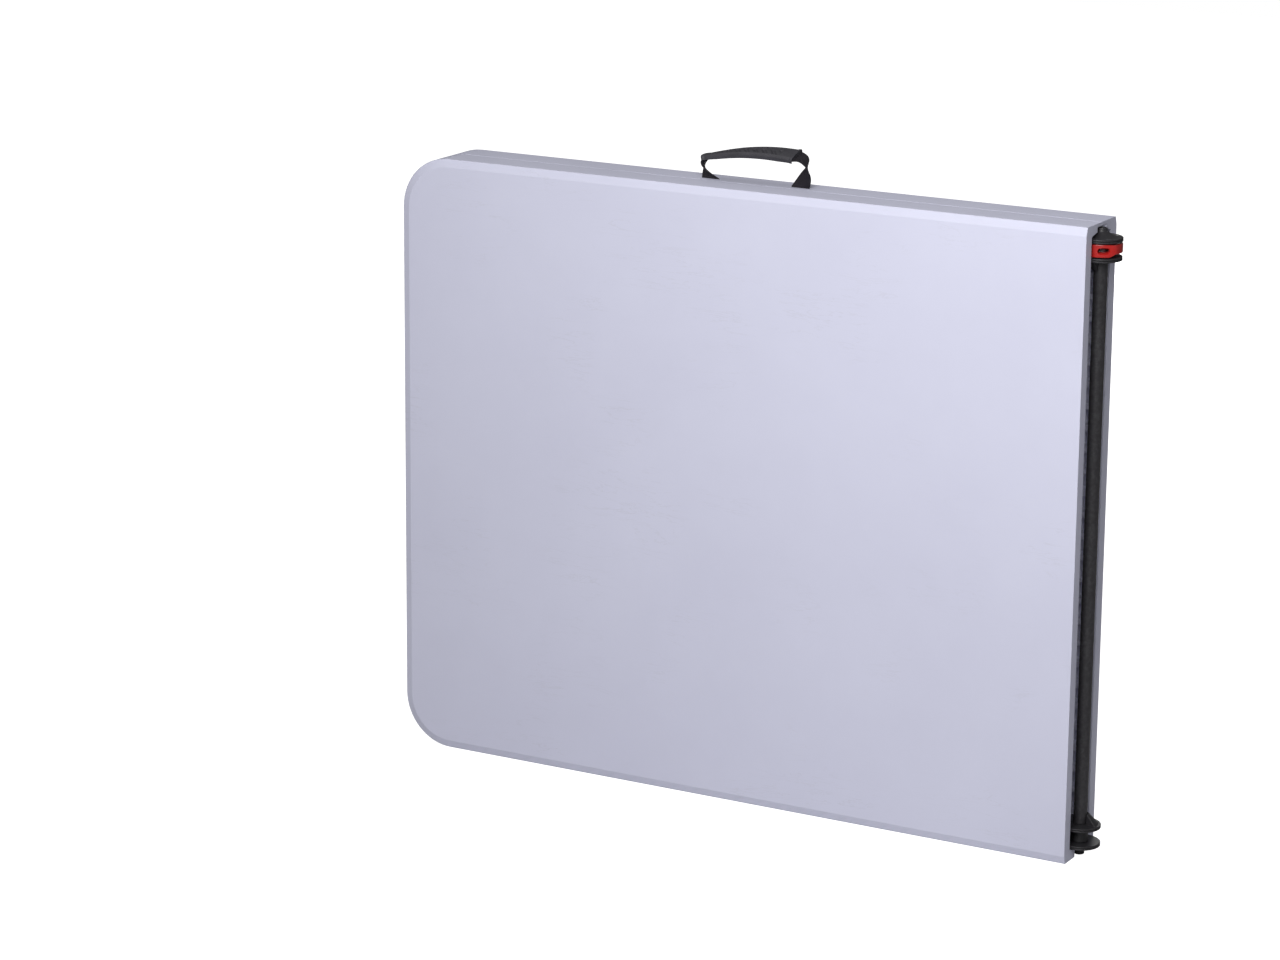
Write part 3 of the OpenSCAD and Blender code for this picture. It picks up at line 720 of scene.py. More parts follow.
class PieceOnPoints(GeometrySheet):
    """Sets one small piece on every point, turned and sized by the point's own attributes."""

    def __init__(self) -> None:
        """Builds the tree."""
        super().__init__("Piece on points", {"Piece": "Object", "Weld": "Float"})
        piece = self.add("GeometryNodeObjectInfo", {"Object": self.given["Piece"]})
        turn = self.add("GeometryNodeInputNamedAttribute", {"Name": "turn"}, data_type="FLOAT_VECTOR")
        size = self.add("GeometryNodeInputNamedAttribute", {"Name": "size"}, data_type="FLOAT_VECTOR")
        rotation = self.add("FunctionNodeEulerToRotation", {0: turn.outputs[0]})
        placed = self.add("GeometryNodeInstanceOnPoints", {
            "Points": self.given["Geometry"], "Instance": piece.outputs["Geometry"],
            "Rotation": rotation.outputs[0], "Scale": size.outputs[0]})
        real = self.add("GeometryNodeRealizeInstances", {0: placed.outputs[0]})
        welded = self.add("GeometryNodeMergeByDistance", {"Geometry": real.outputs[0],
                                                          "Distance": self.given["Weld"]})
        self.close(welded.outputs[0])

    def scatter(self, name: str, piece: bpy.types.Object, places: Sequence[Vector],
                material: bpy.types.Material, turns: Sequence[Sequence[float]] | None = None,
                sizes: Sequence[float] | None = None, weld: float = 1e-7) -> bpy.types.Object:
        """Sets a piece on a list of places.

        Args:
            name: The name of the result.
            piece: The piece, modelled round the origin.
            places: The points.
            material: The material of the result.
            turns: The turn at each point, as Euler angles, or None for no turn.
            sizes: The size at each point, or None for the piece's own size.
            weld: The distance under which points of neighbouring pieces are merged.

        Returns:
            One plain mesh object.
        """
        mesh = bpy.data.meshes.new(name)
        mesh.from_pydata([tuple(place) for place in places], [], [])
        turn = mesh.attributes.new("turn", "FLOAT_VECTOR", "POINT")
        size = mesh.attributes.new("size", "FLOAT_VECTOR", "POINT")
        for i in range(len(places)):
            turn.data[i].vector = turns[i] if turns else (0, 0, 0)
            size.data[i].vector = [sizes[i] if sizes else 1.0] * 3
        start = bpy.data.objects.new(name, mesh)
        bpy.context.scene.collection.objects.link(start)
        return self.run(start, {"Piece": piece, "Weld": weld, "Material": material})


class CoiledWire(GeometrySheet):
    """A close-wound coil of round wire, standing on its start point."""

    def __init__(self) -> None:
        """Builds the tree."""
        super().__init__("Coiled wire", {"Turns": "Float", "Radius": "Float", "Height": "Float",
                                         "Wire": "Float"})
        coil = self.add("GeometryNodeCurveSpiral", {
            "Resolution": 40, "Rotations": self.given["Turns"], "Start Radius": self.given["Radius"],
            "End Radius": self.given["Radius"], "Height": self.given["Height"]})
        ring = self.add("GeometryNodeCurvePrimitiveCircle", {"Resolution": 12,
                                                             "Radius": self.given["Wire"]})
        wire = self.add("GeometryNodeCurveToMesh", {"Curve": coil.outputs[0],
                                                    "Profile Curve": ring.outputs[0],
                                                    "Fill Caps": True})
        placed = self.add("GeometryNodeInstanceOnPoints", {"Points": self.given["Geometry"],
                                                           "Instance": wire.outputs[0]})
        self.close(placed.outputs[0])

    def wind(self, name: str, foot: Vector, turns: float, radius: float, height: float, wire: float,
             material: bpy.types.Material) -> bpy.types.Object:
        """Winds one coil and returns it as a plain mesh object."""
        mesh = bpy.data.meshes.new(name)
        mesh.from_pydata([tuple(foot)], [], [])
        start = bpy.data.objects.new(name, mesh)
        bpy.context.scene.collection.objects.link(start)
        return self.run(start, {"Turns": turns, "Radius": radius, "Height": height, "Wire": wire,
                                "Material": material})


# ------------------------------------------------------------- the table tops


@dataclass
class TableTop:
    """One blow-moulded half: a flat face with a bevel, a deep rim and a cupped underside."""

    side: Side
    paint: Paintbox
    points: PieceOnPoints
    rim: float = 8.5 * MM
    rim_root: float = 13 * MM
    corner: float = 65 * MM
    corner_steps: int = 16
    bevel_in: float = 10 * MM
    bevel_deep: float = 3 * MM
    panel: float = 16 * MM
    root_radius: float = 3 * MM
    seam_radius: float = 0.5 * MM
    edge_radius: float = 2 * MM
    flat_strip: float = 3 * MM
    end_round: float = 0.4 * MM
    end_steps: int = 3
    cup_pitch: float = 26 * MM
    cup_columns: int = 33
    cup_rows: int = 26
    cup_from_fold: float = 10 * MM
    cup_lip: float = 9.6 * MM
    cup_floor: float = 6.2 * MM
    cup_deep: float = 9 * MM
    cup_sides: int = 12
    notch: float = 12.5 * MM
    notch_lip: float = 4.2 * MM

    def __post_init__(self) -> None:
        """Reads the half's own box from the frame."""
        low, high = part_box(f"{self.side.word}_top_panel")
        self.outer, self.fold, self.height = low.x, high.x, high.z
        self.seam, self.face = sorted((abs(low.y), abs(high.y)))
        self.under = self.face - self.panel

    def rim_outline(self) -> list[Vector]:
        """The rim's section, from the underside round the seam to the table face.

        Returns:
            Points of (distance in from the edge, distance from the seam plane).
        """
        corners = [
            (self.rim_root + self.root_radius + self.flat_strip, self.under),
            (self.rim_root, self.under), (self.rim, self.seam), (0, self.seam),
            (0, self.face - self.bevel_deep), (self.bevel_in, self.face),
            (self.bevel_in + self.edge_radius + self.flat_strip, self.face),
        ]
        radii = (0, self.root_radius, self.seam_radius, self.seam_radius, self.edge_radius,
                 self.edge_radius, 0)
        return filleted(corners, radii)

    def stations(self) -> list[tuple[Vector, Vector, float]]:
        """Places along the edge, from the fold round the outer end and back to the fold.

        Returns:
            For each place its point on the edge, its direction inwards and how far the section shrinks.
        """
        up, down = Vector((0, 0, 1)), Vector((0, 0, -1))
        ends = []
        for step in range(self.end_steps + 1):
            turn = math.radians(90) * (1 - step / self.end_steps)
            ends.append((self.fold - self.end_round * (1 - math.sin(turn)),
                         self.end_round * (1 - math.cos(turn))))
        places = [(Vector((x, 0, 0)), up, inset) for x, inset in ends]
        for z, first in ((self.corner, 270), (self.height - self.corner, 180)):
            middle = Vector((self.outer + self.corner, 0, z))
            for step in range(self.corner_steps + 1):
                angle = math.radians(first - 90 * step / self.corner_steps)
                out = Vector((math.cos(angle), 0, math.sin(angle)))
                places.append((middle + out * self.corner, -out, 0.0))
        places += [(Vector((x, 0, self.height)), down, inset) for x, inset in reversed(ends)]
        return places

    def shell(self) -> bpy.types.Object:
        """Sweeps the rim round the half and closes it with flat faces.

        Returns:
            The half as one closed rear shell, before its underside is cupped.
        """
        outline = self.rim_outline()
        normals = []
        for i in range(len(outline)):
            run = outline[min(i + 1, len(outline) - 1)] - outline[max(i - 1, 0)]
            normals.append(Vector((run.y, -run.x)).normalized())
        bm = bmesh.new()
        rows = []
        for point, inward, inset in self.stations():
            row = []
            for (u, v), normal in zip(outline, normals):
                place = point + inward * (u + inset * normal.x)
                row.append(bm.verts.new((place.x, v + inset * normal.y, place.z)))
            rows.append(row)
        for a, b in zip(rows, rows[1:]):
            for j in range(len(outline) - 1):
                bm.faces.new((a[j], a[j + 1], b[j + 1], b[j]))
        bm.faces.new(rows[0] + rows[-1][::-1])
        for j in (0, -1):
            for k in range(self.end_steps):
                bm.faces.new((rows[k][j], rows[k + 1][j], rows[-2 - k][j], rows[-1 - k][j]))
            bm.faces.new([row[j] for row in rows[self.end_steps:-self.end_steps]])
        bmesh.ops.recalc_face_normals(bm, faces=bm.faces)
        return object_from(bm, f"{self.side.word}_table_top")

    def tile(self, cupped: bool) -> bpy.types.Object:
        """Makes one tile of the underside, with a cup in it or plain.

        Args:
            cupped: True for a tile with a cup.

        Returns:
            The tile, with its surface at Y = 0 and its cup towards +Y.
        """
        half = self.cup_pitch / 2
        bm = bmesh.new()
        square = [(half, 0), (half, half), (0, half), (-half, half),
                  (-half, 0), (-half, -half), (0, -half), (half, -half)]
        edge = [bm.verts.new((x, 0, z)) for x, z in square]
        if not cupped:
            bm.faces.new(edge)
            return object_from(bm, "plain_tile")
        lip_round, floor_round = 0.9 * MM, 1.4 * MM
        sections = [(self.cup_lip + lip_round, 0.0), (self.cup_lip + 0.3 * lip_round, 0.3 * lip_round),
                    (self.cup_lip, lip_round), (self.cup_floor + floor_round, self.cup_deep - floor_round),
                    (self.cup_floor + 0.7 * floor_round, self.cup_deep - 0.3 * floor_round),
                    (self.cup_floor, self.cup_deep)]
        rings = []
        for radius, depth in sections:
            turns = [math.tau * i / self.cup_sides for i in range(self.cup_sides)]
            rings.append([bm.verts.new((radius * math.cos(t), depth, radius * math.sin(t))) for t in turns])
        quarter = self.cup_sides // 4
        for q in range(4):
            arc = [rings[0][(q * quarter + i) % self.cup_sides] for i in range(quarter + 1)]
            bm.faces.new([edge[2 * q], edge[2 * q + 1], edge[(2 * q + 2) % 8], *reversed(arc)])
        for a, b in zip(rings, rings[1:]):
            for i in range(self.cup_sides):
                k = (i + 1) % self.cup_sides
                bm.faces.new((a[i], a[k], b[k], b[i]))
        bm.faces.new(rings[-1])
        return object_from(bm, "cup_tile")

    def covered(self) -> list[tuple[Vector, Vector]]:
        """Boxes of the pieces that stand on the underside, where it stays plain."""
        word = self.side.word
        feet = [f"{word}_pivot_bracket_lower", f"{word}_pivot_bracket_upper", f"{word}_brace_bracket"]
        return [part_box(node) for node in feet] + islands(f"{word}_leg_clips")

    def field(self) -> list[bpy.types.Object]:
        """Lays the tiles of the underside.

        Returns:
            The cupped tiles and the plain tiles, each as one mesh.
        """
        half = self.cup_pitch / 2
        first_z = (self.height - self.cup_rows * self.cup_pitch) / 2 + half
        covered = self.covered()
        places: dict[bool, list[Vector]] = {True: [], False: []}
        for column in range(self.cup_columns):
            x = self.fold - self.cup_from_fold - half - column * self.cup_pitch
            for row in range(self.cup_rows):
                z = first_z + row * self.cup_pitch
                plain = any(low.x < x + half and high.x > x - half and low.z < z + half and high.z > z - half
                            for low, high in covered)
                places[not plain].append(Vector((x, self.under, z)))
        laid = []
        for cupped, spots in places.items():
            tile = self.tile(cupped)
            laid.append(self.points.scatter("tiles", tile, spots, self.paint[Slot.TABLE], weld=WELD))
            bpy.data.objects.remove(tile)
        return laid

    def cup_underside(self, shell: bpy.types.Object) -> bpy.types.Object:
        """Swaps the shell's plain underside for the cupped one.

        Args:
            shell: The closed rear shell.

        Returns:
            The closed shell with its cups.
        """
        name = shell.name
        tiles = merged("tiles", *self.field())
        bm = bmesh.new()
        bm.from_mesh(shell.data)
        flat = [f for f in bm.faces if all(abs(v.co.y - self.under) < WELD for v in f.verts)]
        largest = max(flat, key=lambda f: f.calc_area())
        bmesh.ops.delete(bm, geom=[largest], context="FACES_ONLY")
        bm.from_mesh(tiles.data)
        bmesh.ops.remove_doubles(bm, verts=bm.verts, dist=WELD)
        edges = [e for e in bm.edges if len(e.link_faces) == 1]
        bmesh.ops.triangle_fill(bm, use_beauty=True, edges=edges, normal=(0, -1, 0))
        bmesh.ops.recalc_face_normals(bm, faces=bm.faces)
        for old in (shell, tiles):
            bpy.data.objects.remove(old)
        return object_from(bm, name)

    def notches(self) -> list[bpy.types.Object]:
        """Tools that cut round pockets into both long rims at the fold, where the hinge's bosses turn."""
        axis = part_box("hinge_tube")
        middle = (axis[0] + axis[1]) / 2
        deep = 2 * self.rim_root
        high = self.height - self.notch_lip
        return [lathed([(0, a), (self.notch, a), (self.notch, b), (0, b)], middle.x, 0, "notch_tool")
                for a, b in ((-self.notch_lip, deep), (self.height - deep, high))]

    def slots(self) -> list[bpy.types.Object]:
        """Tools that cut the webbing's slots through the upper rim."""
        room, tools = 0.3 * MM, []
        for low, high in islands("strap_tails"):
            start = (low.x - room, low.y - room, self.height - 2 * self.rim_root)
            end = (high.x + room, high.y + room, self.height + self.rim_root)
            tools.append(block(start, end, "slot_tool"))
        return tools

    def build(self) -> None:
        """Builds and dresses the half."""
        top = cut(self.shell(), self.notches())
        if self.side is Side.REAR:
            top = cut(top, self.slots())
        top = self.cup_underside(top)
        if self.side is Side.FRONT:
            top.data.transform(Matrix.Diagonal((1, -1, 1, 1)))
            top.data.flip_normals()
        dress(smoothed(top, 40), Slot.TABLE, self.side.body, self.paint, [f"{self.side.word}_top_panel"])


@dataclass
class Rails:
    """The two roll-formed rails along a half."""

    side: Side
    paint: Paintbox
    radius: float = 2.6 * MM
    wall: float = 1.2 * MM
    steps: int = 4

    def ring(self, x: float, low: Vector, high: Vector, inset: float) -> list[Vector]:
        """A rounded rectangle across a rail.

        Args:
            x: Where it lies along the rail.
            low: The rail's lowest corner.
            high: The rail's highest corner.
            inset: How far it lies inside the rail's outer face.

        Returns:
            Its points in order.
        """
        points = []
        turning = max(self.radius - inset, 0.6 * MM)
        for i, (sy, sz) in enumerate(((1, 1), (-1, 1), (-1, -1), (1, -1))):
            cy = (high.y if sy > 0 else low.y) - sy * (inset + turning)
            cz = (high.z if sz > 0 else low.z) - sz * (inset + turning)
            for step in range(self.steps + 1):
                angle = math.radians(90 * (i + step / self.steps))
                points.append(Vector((x, cy + turning * math.cos(angle), cz + turning * math.sin(angle))))
        return points

    def build(self) -> None:
        """Builds and dresses both rails."""
        for level in ("lower", "upper"):
            node = f"{self.side.word}_rail_{level}"
            low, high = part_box(node)
            rings = [self.ring(low.x, low, high, 0), self.ring(high.x, low, high, 0),
                     self.ring(high.x, low, high, self.wall), self.ring(low.x, low, high, self.wall)]
            rail = smoothed(lofted(rings, f"{node}_finished", capped=False))
            dress(rail, Slot.COATED, self.side.body, self.paint, [node])


# ------------------------------------------------------------------ the hinge


@dataclass
class FoldHinge:
    """The brackets, tube, pins, spacer and latch along the fold."""

    paint: Paintbox
    ear_round: float = 0.7 * MM
    ear_step: float = 2.5 * MM
    boss_end: float = 6.2 * MM
    foot_end: float = 1.5 * MM
    flare: tuple = ((21.2, 0.0), (19.0, 0.05), (16.0, 0.13), (12.6, 0.25), (9.8, 0.38), (7.7, 0.52),
                    (6.6, 0.64), (6.2, 0.76), (6.1, 0.93), (5.9, 0.98), (5.6, 1.0), (5.2, 0.99),
                    (4.9, 0.95), (4.8, 0.9))
    bore: float = 4.8 * MM
    drum: float = 22.5 * MM
    drum_h: float = 15 * MM
    tab_out: float = 1.9 * MM
    tab_rise: float = 3.6 * MM
    tab_half: float = 46.0
    drum_soft: float = 1.0 * MM
    parting: float = 0.3 * MM
    pocket: tuple[float, float] = (11.5 * MM, 4.5 * MM)
    window: tuple[float, float] = (13 * MM, 5 * MM)
    window_turn: float = -60.0
    window_flare: float = 1.9 * MM
    drum_sides: int = 96

    def __post_init__(self) -> None:
        """Reads the axis and the outermost ear faces from the frame."""
        low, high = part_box("hinge_tube")
        self.axis = (low + high) / 2
        self.ear_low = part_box("front_hinge_bracket_lower")[0].z
        self.ear_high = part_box("front_hinge_bracket_upper")[1].z + self.ear_step
        self.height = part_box("rear_top_panel")[1].z

    def brackets(self) -> None:
        """Dresses three of the four brackets with their ears, all but the rear upper one."""
        for word in ("front", "rear"):
            for level in ("lower", "upper"):
                if (word, level) != ("rear", "upper"):
                    dress_copy(f"{word}_hinge_bracket_{level}", self.ear_round, Slot.COATED, self.paint, 3)

    def crowned_bracket(self) -> None:
        """Swaps the straight cone on the rear upper bracket for a flared boss."""
        node = "rear_hinge_bracket_upper"
        reach = self.drum * 1.2
        over = block((self.axis.x - reach, -reach, self.ear_high + 2 * WELD),
                     (self.axis.x + reach, reach, self.height), "cone_tool")
        plate = rounded(cut(object_from(copied(node), "plate"), [over]), self.ear_round, 3)
        boss = self.boss(self.ear_high, self.height - self.boss_end)
        whole = smoothed(merged(f"{node}_finished", plate, boss))
        dress(whole, Slot.COATED, BODY_OF_NODE[node], self.paint, [node])

    def boss(self, root: float, end: float) -> bpy.types.Object:
        """A flared boss with a bore, from its root on an ear to its end."""
        outside = [(radius * MM, root + (end - root) * share) for radius, share in self.flare]
        return lathed([*outside, (self.bore, root)], self.axis.x, 0, "boss")

    def lower_boss(self) -> None:
        """Dresses the flared boss under the lowest ear."""
        boss = smoothed(self.boss(self.ear_low, self.foot_end))
        boss.name = "front_lower_boss"
        dress(boss, Slot.COATED, BODY_OF_NODE["front_hinge_bracket_lower"], self.paint)

    def shafts(self) -> None:
        """Dresses the tube, its plugs, the pins and the spacer."""
        dress_copy("hinge_tube", 0.4 * MM, Slot.COATED, self.paint)
        dress_copy("hinge_tube_plugs", 0.4 * MM, Slot.BLACK, self.paint)
        dress_copy("hinge_spacer", 0.8 * MM, Slot.BLACK, self.paint)
        for level in ("lower", "upper"):
            dress_copy(f"hinge_pin_{level}", 0.8 * MM, Slot.ZINC, self.paint)

    def tab_share(self, turn: float) -> float:
        """How far the latch's tab has grown at a turn about the axis, from 0 to 1."""
        off = abs((math.degrees(turn) + 180) % 360 - 180)
        share = min(max((self.tab_half - off) / (0.55 * self.tab_half), 0), 1)
        return share * share * (3 - 2 * share)

    def drum_column(self, turn: float, middle: float) -> list[Vector]:
        """The latch's section at a turn about the axis, from its bore's foot round the outside.

        Args:
            turn: The angle about the axis.
            middle: The height of the latch's middle.

        Returns:
            The points of the section.
        """
        grown = self.tab_share(turn)
        radius = self.drum + self.tab_out * grown
        low, high = -self.drum_h / 2 + self.tab_rise * grown, self.drum_h / 2 - 0.2 * self.tab_rise * grown
        soft, line = self.drum_soft, low + (high - low) * 0.3
        wide, tall = self.pocket
        section = [
            (self.bore, low), (radius - soft, low), (radius - 0.3 * soft, low + 0.3 * soft),
            (radius, low + soft), (radius, line - self.parting), (radius - self.parting, line),
            (radius, line + self.parting), (radius, high - soft), (radius - 0.3 * soft, high - 0.3 * soft),
            (radius - soft, high), (self.bore, high), (self.bore, tall), (wide, tall), (wide, -tall),
            (self.bore, -tall),
        ]
        return [Vector((self.axis.x + r * math.cos(turn), r * math.sin(turn), middle + z))
                for r, z in section]

    def window_tool(self, middle: float) -> bpy.types.Object:
        """The tool for the latch's rounded window, which widens towards the outside."""
        long, short = self.window
        turn = math.radians(self.window_turn)
        out = Vector((math.cos(turn), math.sin(turn), 0))
        side = Vector((-math.sin(turn), math.cos(turn), 0))
        rings = []
        for reach, wider in ((0.4, 0), (0.86, 0), (0.9, 0.15), (1.02, 1), (1.1, 1)):
            half = short / 2 + wider * self.window_flare
            run = (long - short) / 2
            ring = []
            for step in range(24):
                angle = math.tau * (step + 0.5) / 24
                along = half * math.cos(angle) + math.copysign(run, math.cos(angle))
                ring.append(Vector((self.axis.x, 0, middle)) + out * (self.drum * reach) + side * along
                            + Vector((0, 0, half * math.sin(angle))))
            rings.append(ring)
        return lofted(rings, "window_tool")

    def latch(self) -> None:
        """Builds the red latch, cuts its window and winds its spring."""
        low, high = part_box("latch_lever")
        middle = (low.z + high.z) / 2
        columns = [self.drum_column(math.tau * i / self.drum_sides, middle) for i in range(self.drum_sides)]
        lever = cut(lofted(columns, "latch_drum", capped=False), [self.window_tool(middle)])
        dress(smoothed(lever, 30), Slot.LATCH, BODY_OF_NODE["latch_lever"], self.paint, ["latch_lever"])
        low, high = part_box("latch_spring")
        wire = 0.8 * MM
        middle = (low + high) / 2
        foot = Vector((middle.x, middle.y, low.z + wire))
        spring = CoiledWire().wind("latch_coil", foot, 4.0, (high.x - low.x) / 2 - wire,
                                   high.z - low.z - 2 * wire, wire, self.paint[Slot.ZINC])
        dress(spring, Slot.ZINC, BODY_OF_NODE["latch_spring"], self.paint, ["latch_spring"])

    def build(self) -> None:
        """Builds the whole hinge."""
        self.brackets()
        self.crowned_bracket()
        self.lower_boss()
        self.shafts()
        self.latch()


# ------------------------------------------------------------- the leg frames


@dataclass
class LegFrame:
    """The folded leg frame of one half, with its brace, brackets, clips and screws."""

    side: Side
    paint: Paintbox
    points: PieceOnPoints
    copies: dict[str, tuple[float, Slot]] = field(default_factory=lambda: {
        "leg_pivot_tube": (0.3 * MM, Slot.COATED),
        "leg_lower": (0.2 * MM, Slot.COATED),
        "leg_upper": (0.2 * MM, Slot.COATED),
        "foot_bar": (0.3 * MM, Slot.COATED),
        "foot_caps": (0.9 * MM, Slot.BLACK),
        "crossbar": (0.2 * MM, Slot.COATED),
        "crossbar_clip": (0.8 * MM, Slot.COATED),
        "pivot_bracket_lower": (0.7 * MM, Slot.COATED),
        "pivot_bracket_upper": (0.7 * MM, Slot.COATED),
        "brace_long_link": (0.6 * MM, Slot.ZINC),
        "brace_short_link": (0.6 * MM, Slot.ZINC),
        "brace_bracket": (0.8 * MM, Slot.COATED),
        "brace_rivets": (0.5 * MM, Slot.ZINC),
        "lock_ring": (0.7 * MM, Slot.ZINC),
        "leg_clips": (1.0 * MM, Slot.BLACK),
    })
    head_r: float = 4.5 * MM
    head_h: float = 2.0 * MM
    head_sides: int = 24
    head_step: float = 37.0

    def screw_head(self) -> bpy.types.Object:
        """Models a pan head with a cross recess, which faces +Z and stands on Z = 0."""
        radius, height, sides = self.head_r, self.head_h, self.head_sides
        dome = [(1.0, 0.0), (1.0, 0.28), (0.93, 0.55), (0.8, 0.8), (0.55, 0.95), (0.2, 1.0)]
        rings = []
        for wide, tall in dome:
            turns = [math.tau * i / sides for i in range(sides)]
            rings.append([Vector((radius * wide * math.cos(t), radius * wide * math.sin(t), height * tall))
                          for t in turns])
        long, short, deep = 2.3 * MM, 0.45 * MM, 1.1 * MM
        arms = [block((-a, -b, height - deep), (a, b, 2 * height), "recess_tool")
                for a, b in ((long, short), (short, long))]
        return cut(lofted(rings, "screw_head"), arms)

    def screws(self) -> None:
        """Sets a head on every screw of the half."""
        node = f"{self.side.word}_screws"
        sign = self.side.value
        places, turns = [], []
        for i, (low, high) in enumerate(islands(node)):
            middle = (low + high) / 2
            inner = low.y if sign > 0 else high.y
            places.append(Vector((middle.x, inner + sign * self.head_h, middle.z)))
            turns.append((math.radians(90 * sign), math.radians(self.head_step * i), 0))
        head = self.screw_head()
        heads = self.points.scatter(f"{self.side.word}_screw_heads", head, places,
                                    self.paint[Slot.ZINC], turns)
        bpy.data.objects.remove(head)
        dress(smoothed(heads, 40), Slot.ZINC, self.side.body, self.paint, [node])

    def build(self) -> None:
        """Builds and dresses the whole frame."""
        for part, (radius, slot) in self.copies.items():
            dress_copy(f"{self.side.word}_{part}", radius, slot, self.paint)
        self.screws()


# ----------------------------------------------------------------- the handle


@dataclass
class CarryHandle:
    """A moulded grip on one strap of webbing, which twists a quarter turn on each side."""

    paint: Paintbox
    strap_w: float = 24 * MM
    strap_t: float = 2.2 * MM
    grip_l: float = 122 * MM
    grip_w: float = 27 * MM
    grip_wall: float = 2.4 * MM
    skirt_wall: float = 1.2 * MM
    roll_fade: float = 14 * MM
    grip_side: float = 6.6 * MM
    grip_arch: float = 6 * MM
    grip_left: float = -7.5 * MM
    left_top: float = 29.2 * MM
    right_top: float = 40.4 * MM
    groove_pitch: float = 12 * MM
    groove_deep: float = 1.9 * MM
    groove_slope: float = 0.75
    groove_margin: float = 18 * MM
    groove_fade: float = 3 * MM
    groove_edge: float = 3.5 * MM
    groove_edge_fade: float = 1.5 * MM
    end_swell: float = 0.7 * MM
    swell_reach: float = 4 * MM
    skirt_reach: float = 20 * MM
    crown_drop: float = 1.4 * MM
    crown_steps: int = 22
    shoulder: float = 3.2 * MM
    hem: float = 0.5 * MM
    inner_round: float = 1.2 * MM
    station: float = 0.8 * MM
    left_roll: float = -2.0
    right_roll: float = 20.0
    left_rise: tuple = ((0, -12, 0), (0, -4, 0), (-0.2, 0, -2), (-2.4, 3.3, -19), (-4.8, 6.5, -34),
                        (-7.2, 9.8, -48), (-9.2, 13, -61), (-9.8, 18, -76), (-7.5, 22.5, -86), (-2, 25, -90))
    right_rise: tuple = ((0, -12, 0), (0, -4, 0), (0.2, 0, 0), (3, 6, -12), (5.6, 12, -25), (7.4, 18, -41),
                         (8.5, 24, -61), (7.5, 29.5, -77), (3.5, 34, -88), (-3, 36, -92))

    def __post_init__(self) -> None:
        """Reads where the slots and the rim are."""
        self.strap_under = self.grip_wall + self.strap_t
        self.slots = [(low + high) / 2 for low, high in islands("strap_tails")]
        self.rim_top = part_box("rear_top_panel")[1].z
        self.start = self.slots[0].x + self.grip_left
        self.depth = self.slots[0].y

    def crest(self, along: float) -> tuple[Vector, Vector]:
        """The middle of the grip's top at a distance along it.

        Args:
            along: The distance from the grip's left end.

        Returns:
            The point, and the direction square to the grip there.
        """
        share = along / self.grip_l
        rise = self.left_top + (self.right_top - self.left_top) * share
        rise += self.grip_arch * (1 - (2 * share - 1) ** 2)
        slope = (self.right_top - self.left_top - 4 * self.grip_arch * (2 * share - 1)) / self.grip_l
        point = Vector((self.start + along, self.depth, self.rim_top + rise))
        return point, Vector((-slope, 0, 1)).normalized()

    def roll_at(self, along: float) -> float:
        """The grip's roll in degrees at a distance along it: at the right its top leans forwards."""
        return self.left_roll + (self.right_roll - self.left_roll) * along / self.grip_l

    def groove(self, along: float, across: float) -> float:
        """How deep the chevron grooves are at a place on the grip's top."""
        from_end = min(along, self.grip_l - along) - self.groove_margin
        within = min(max(from_end / self.groove_fade, 0), 1)
        from_side = self.grip_w / 2 - abs(across) - self.groove_edge
        inside = min(max(from_side / self.groove_edge_fade, 0), 1)
        phase = ((along - self.groove_slope * abs(across)) / self.groove_pitch) % 1
        shape = max(0, math.cos(math.tau * (phase - 0.5)) - 0.1) / 0.9
        return self.groove_deep * within * inside * math.sqrt(shape)

    def section(self, along: float) -> list[Vector]:
        """The grip's section at a distance along it: a channel that is open underneath."""
        end = min(along, self.grip_l - along)
        swell = self.end_swell * max(0, 1 - (end / self.swell_reach) ** 2)
        half = self.grip_w / 2 + swell
        side = self.grip_side * (0.8 + 0.2 * min(1, end / self.skirt_reach))
        wall, thin, round_off = self.grip_wall, self.skirt_wall, self.shoulder
        outer = filleted([(-half + thin, -side), (-half, -side), (-half, swell), (0, swell), (half, swell),
                          (half, -side), (half - thin, -side)],
                         (0, self.hem, round_off, 0, round_off, self.hem, 0), 5)
        across = self.crown_steps
        flat = [p for p in outer
                if not (abs(p.x) < half - round_off - 0.1 * MM and p.y > swell - WELD)]
        turn = next(i for i, p in enumerate(flat) if p.x > 0 and p.y > -side / 2)
        span = half - round_off - 0.2 * MM
        crown = [Vector((-span + 2 * span * i / across, swell)) for i in range(across + 1)]
        inner = filleted([(half - thin, -side), (half - thin, -wall), (-half + thin, -wall),
                          (-half + thin, -side)], (0, self.inner_round, self.inner_round, 0), 3)[1:-1]
        ring = flat[:turn] + crown + flat[turn:] + inner
        middle, normal = self.crest(along)
        roll = math.radians(self.roll_at(along))
        points = []
        for p in ring:
            high = p.y - self.crown_drop * (p.x / half) ** 2
            if p.y > 0.5 * swell - WELD:
                high -= self.groove(along, p.x)
            out = p.x * math.cos(roll) - high * math.sin(roll)
            high = p.x * math.sin(roll) + high * math.cos(roll)
            points.append(middle + Vector((0, out, 0)) + normal * high)
        return points

    def grip(self) -> None:
        """Lofts and dresses the grip."""
        count = round(self.grip_l / self.station)
        rows = [self.section(self.grip_l * i / count) for i in range(count + 1)]
        piece = smoothed(lofted(rows, "carry_grip"), 50)
        dress(piece, Slot.GRIP, "handle", self.paint, ["handle_grip"])

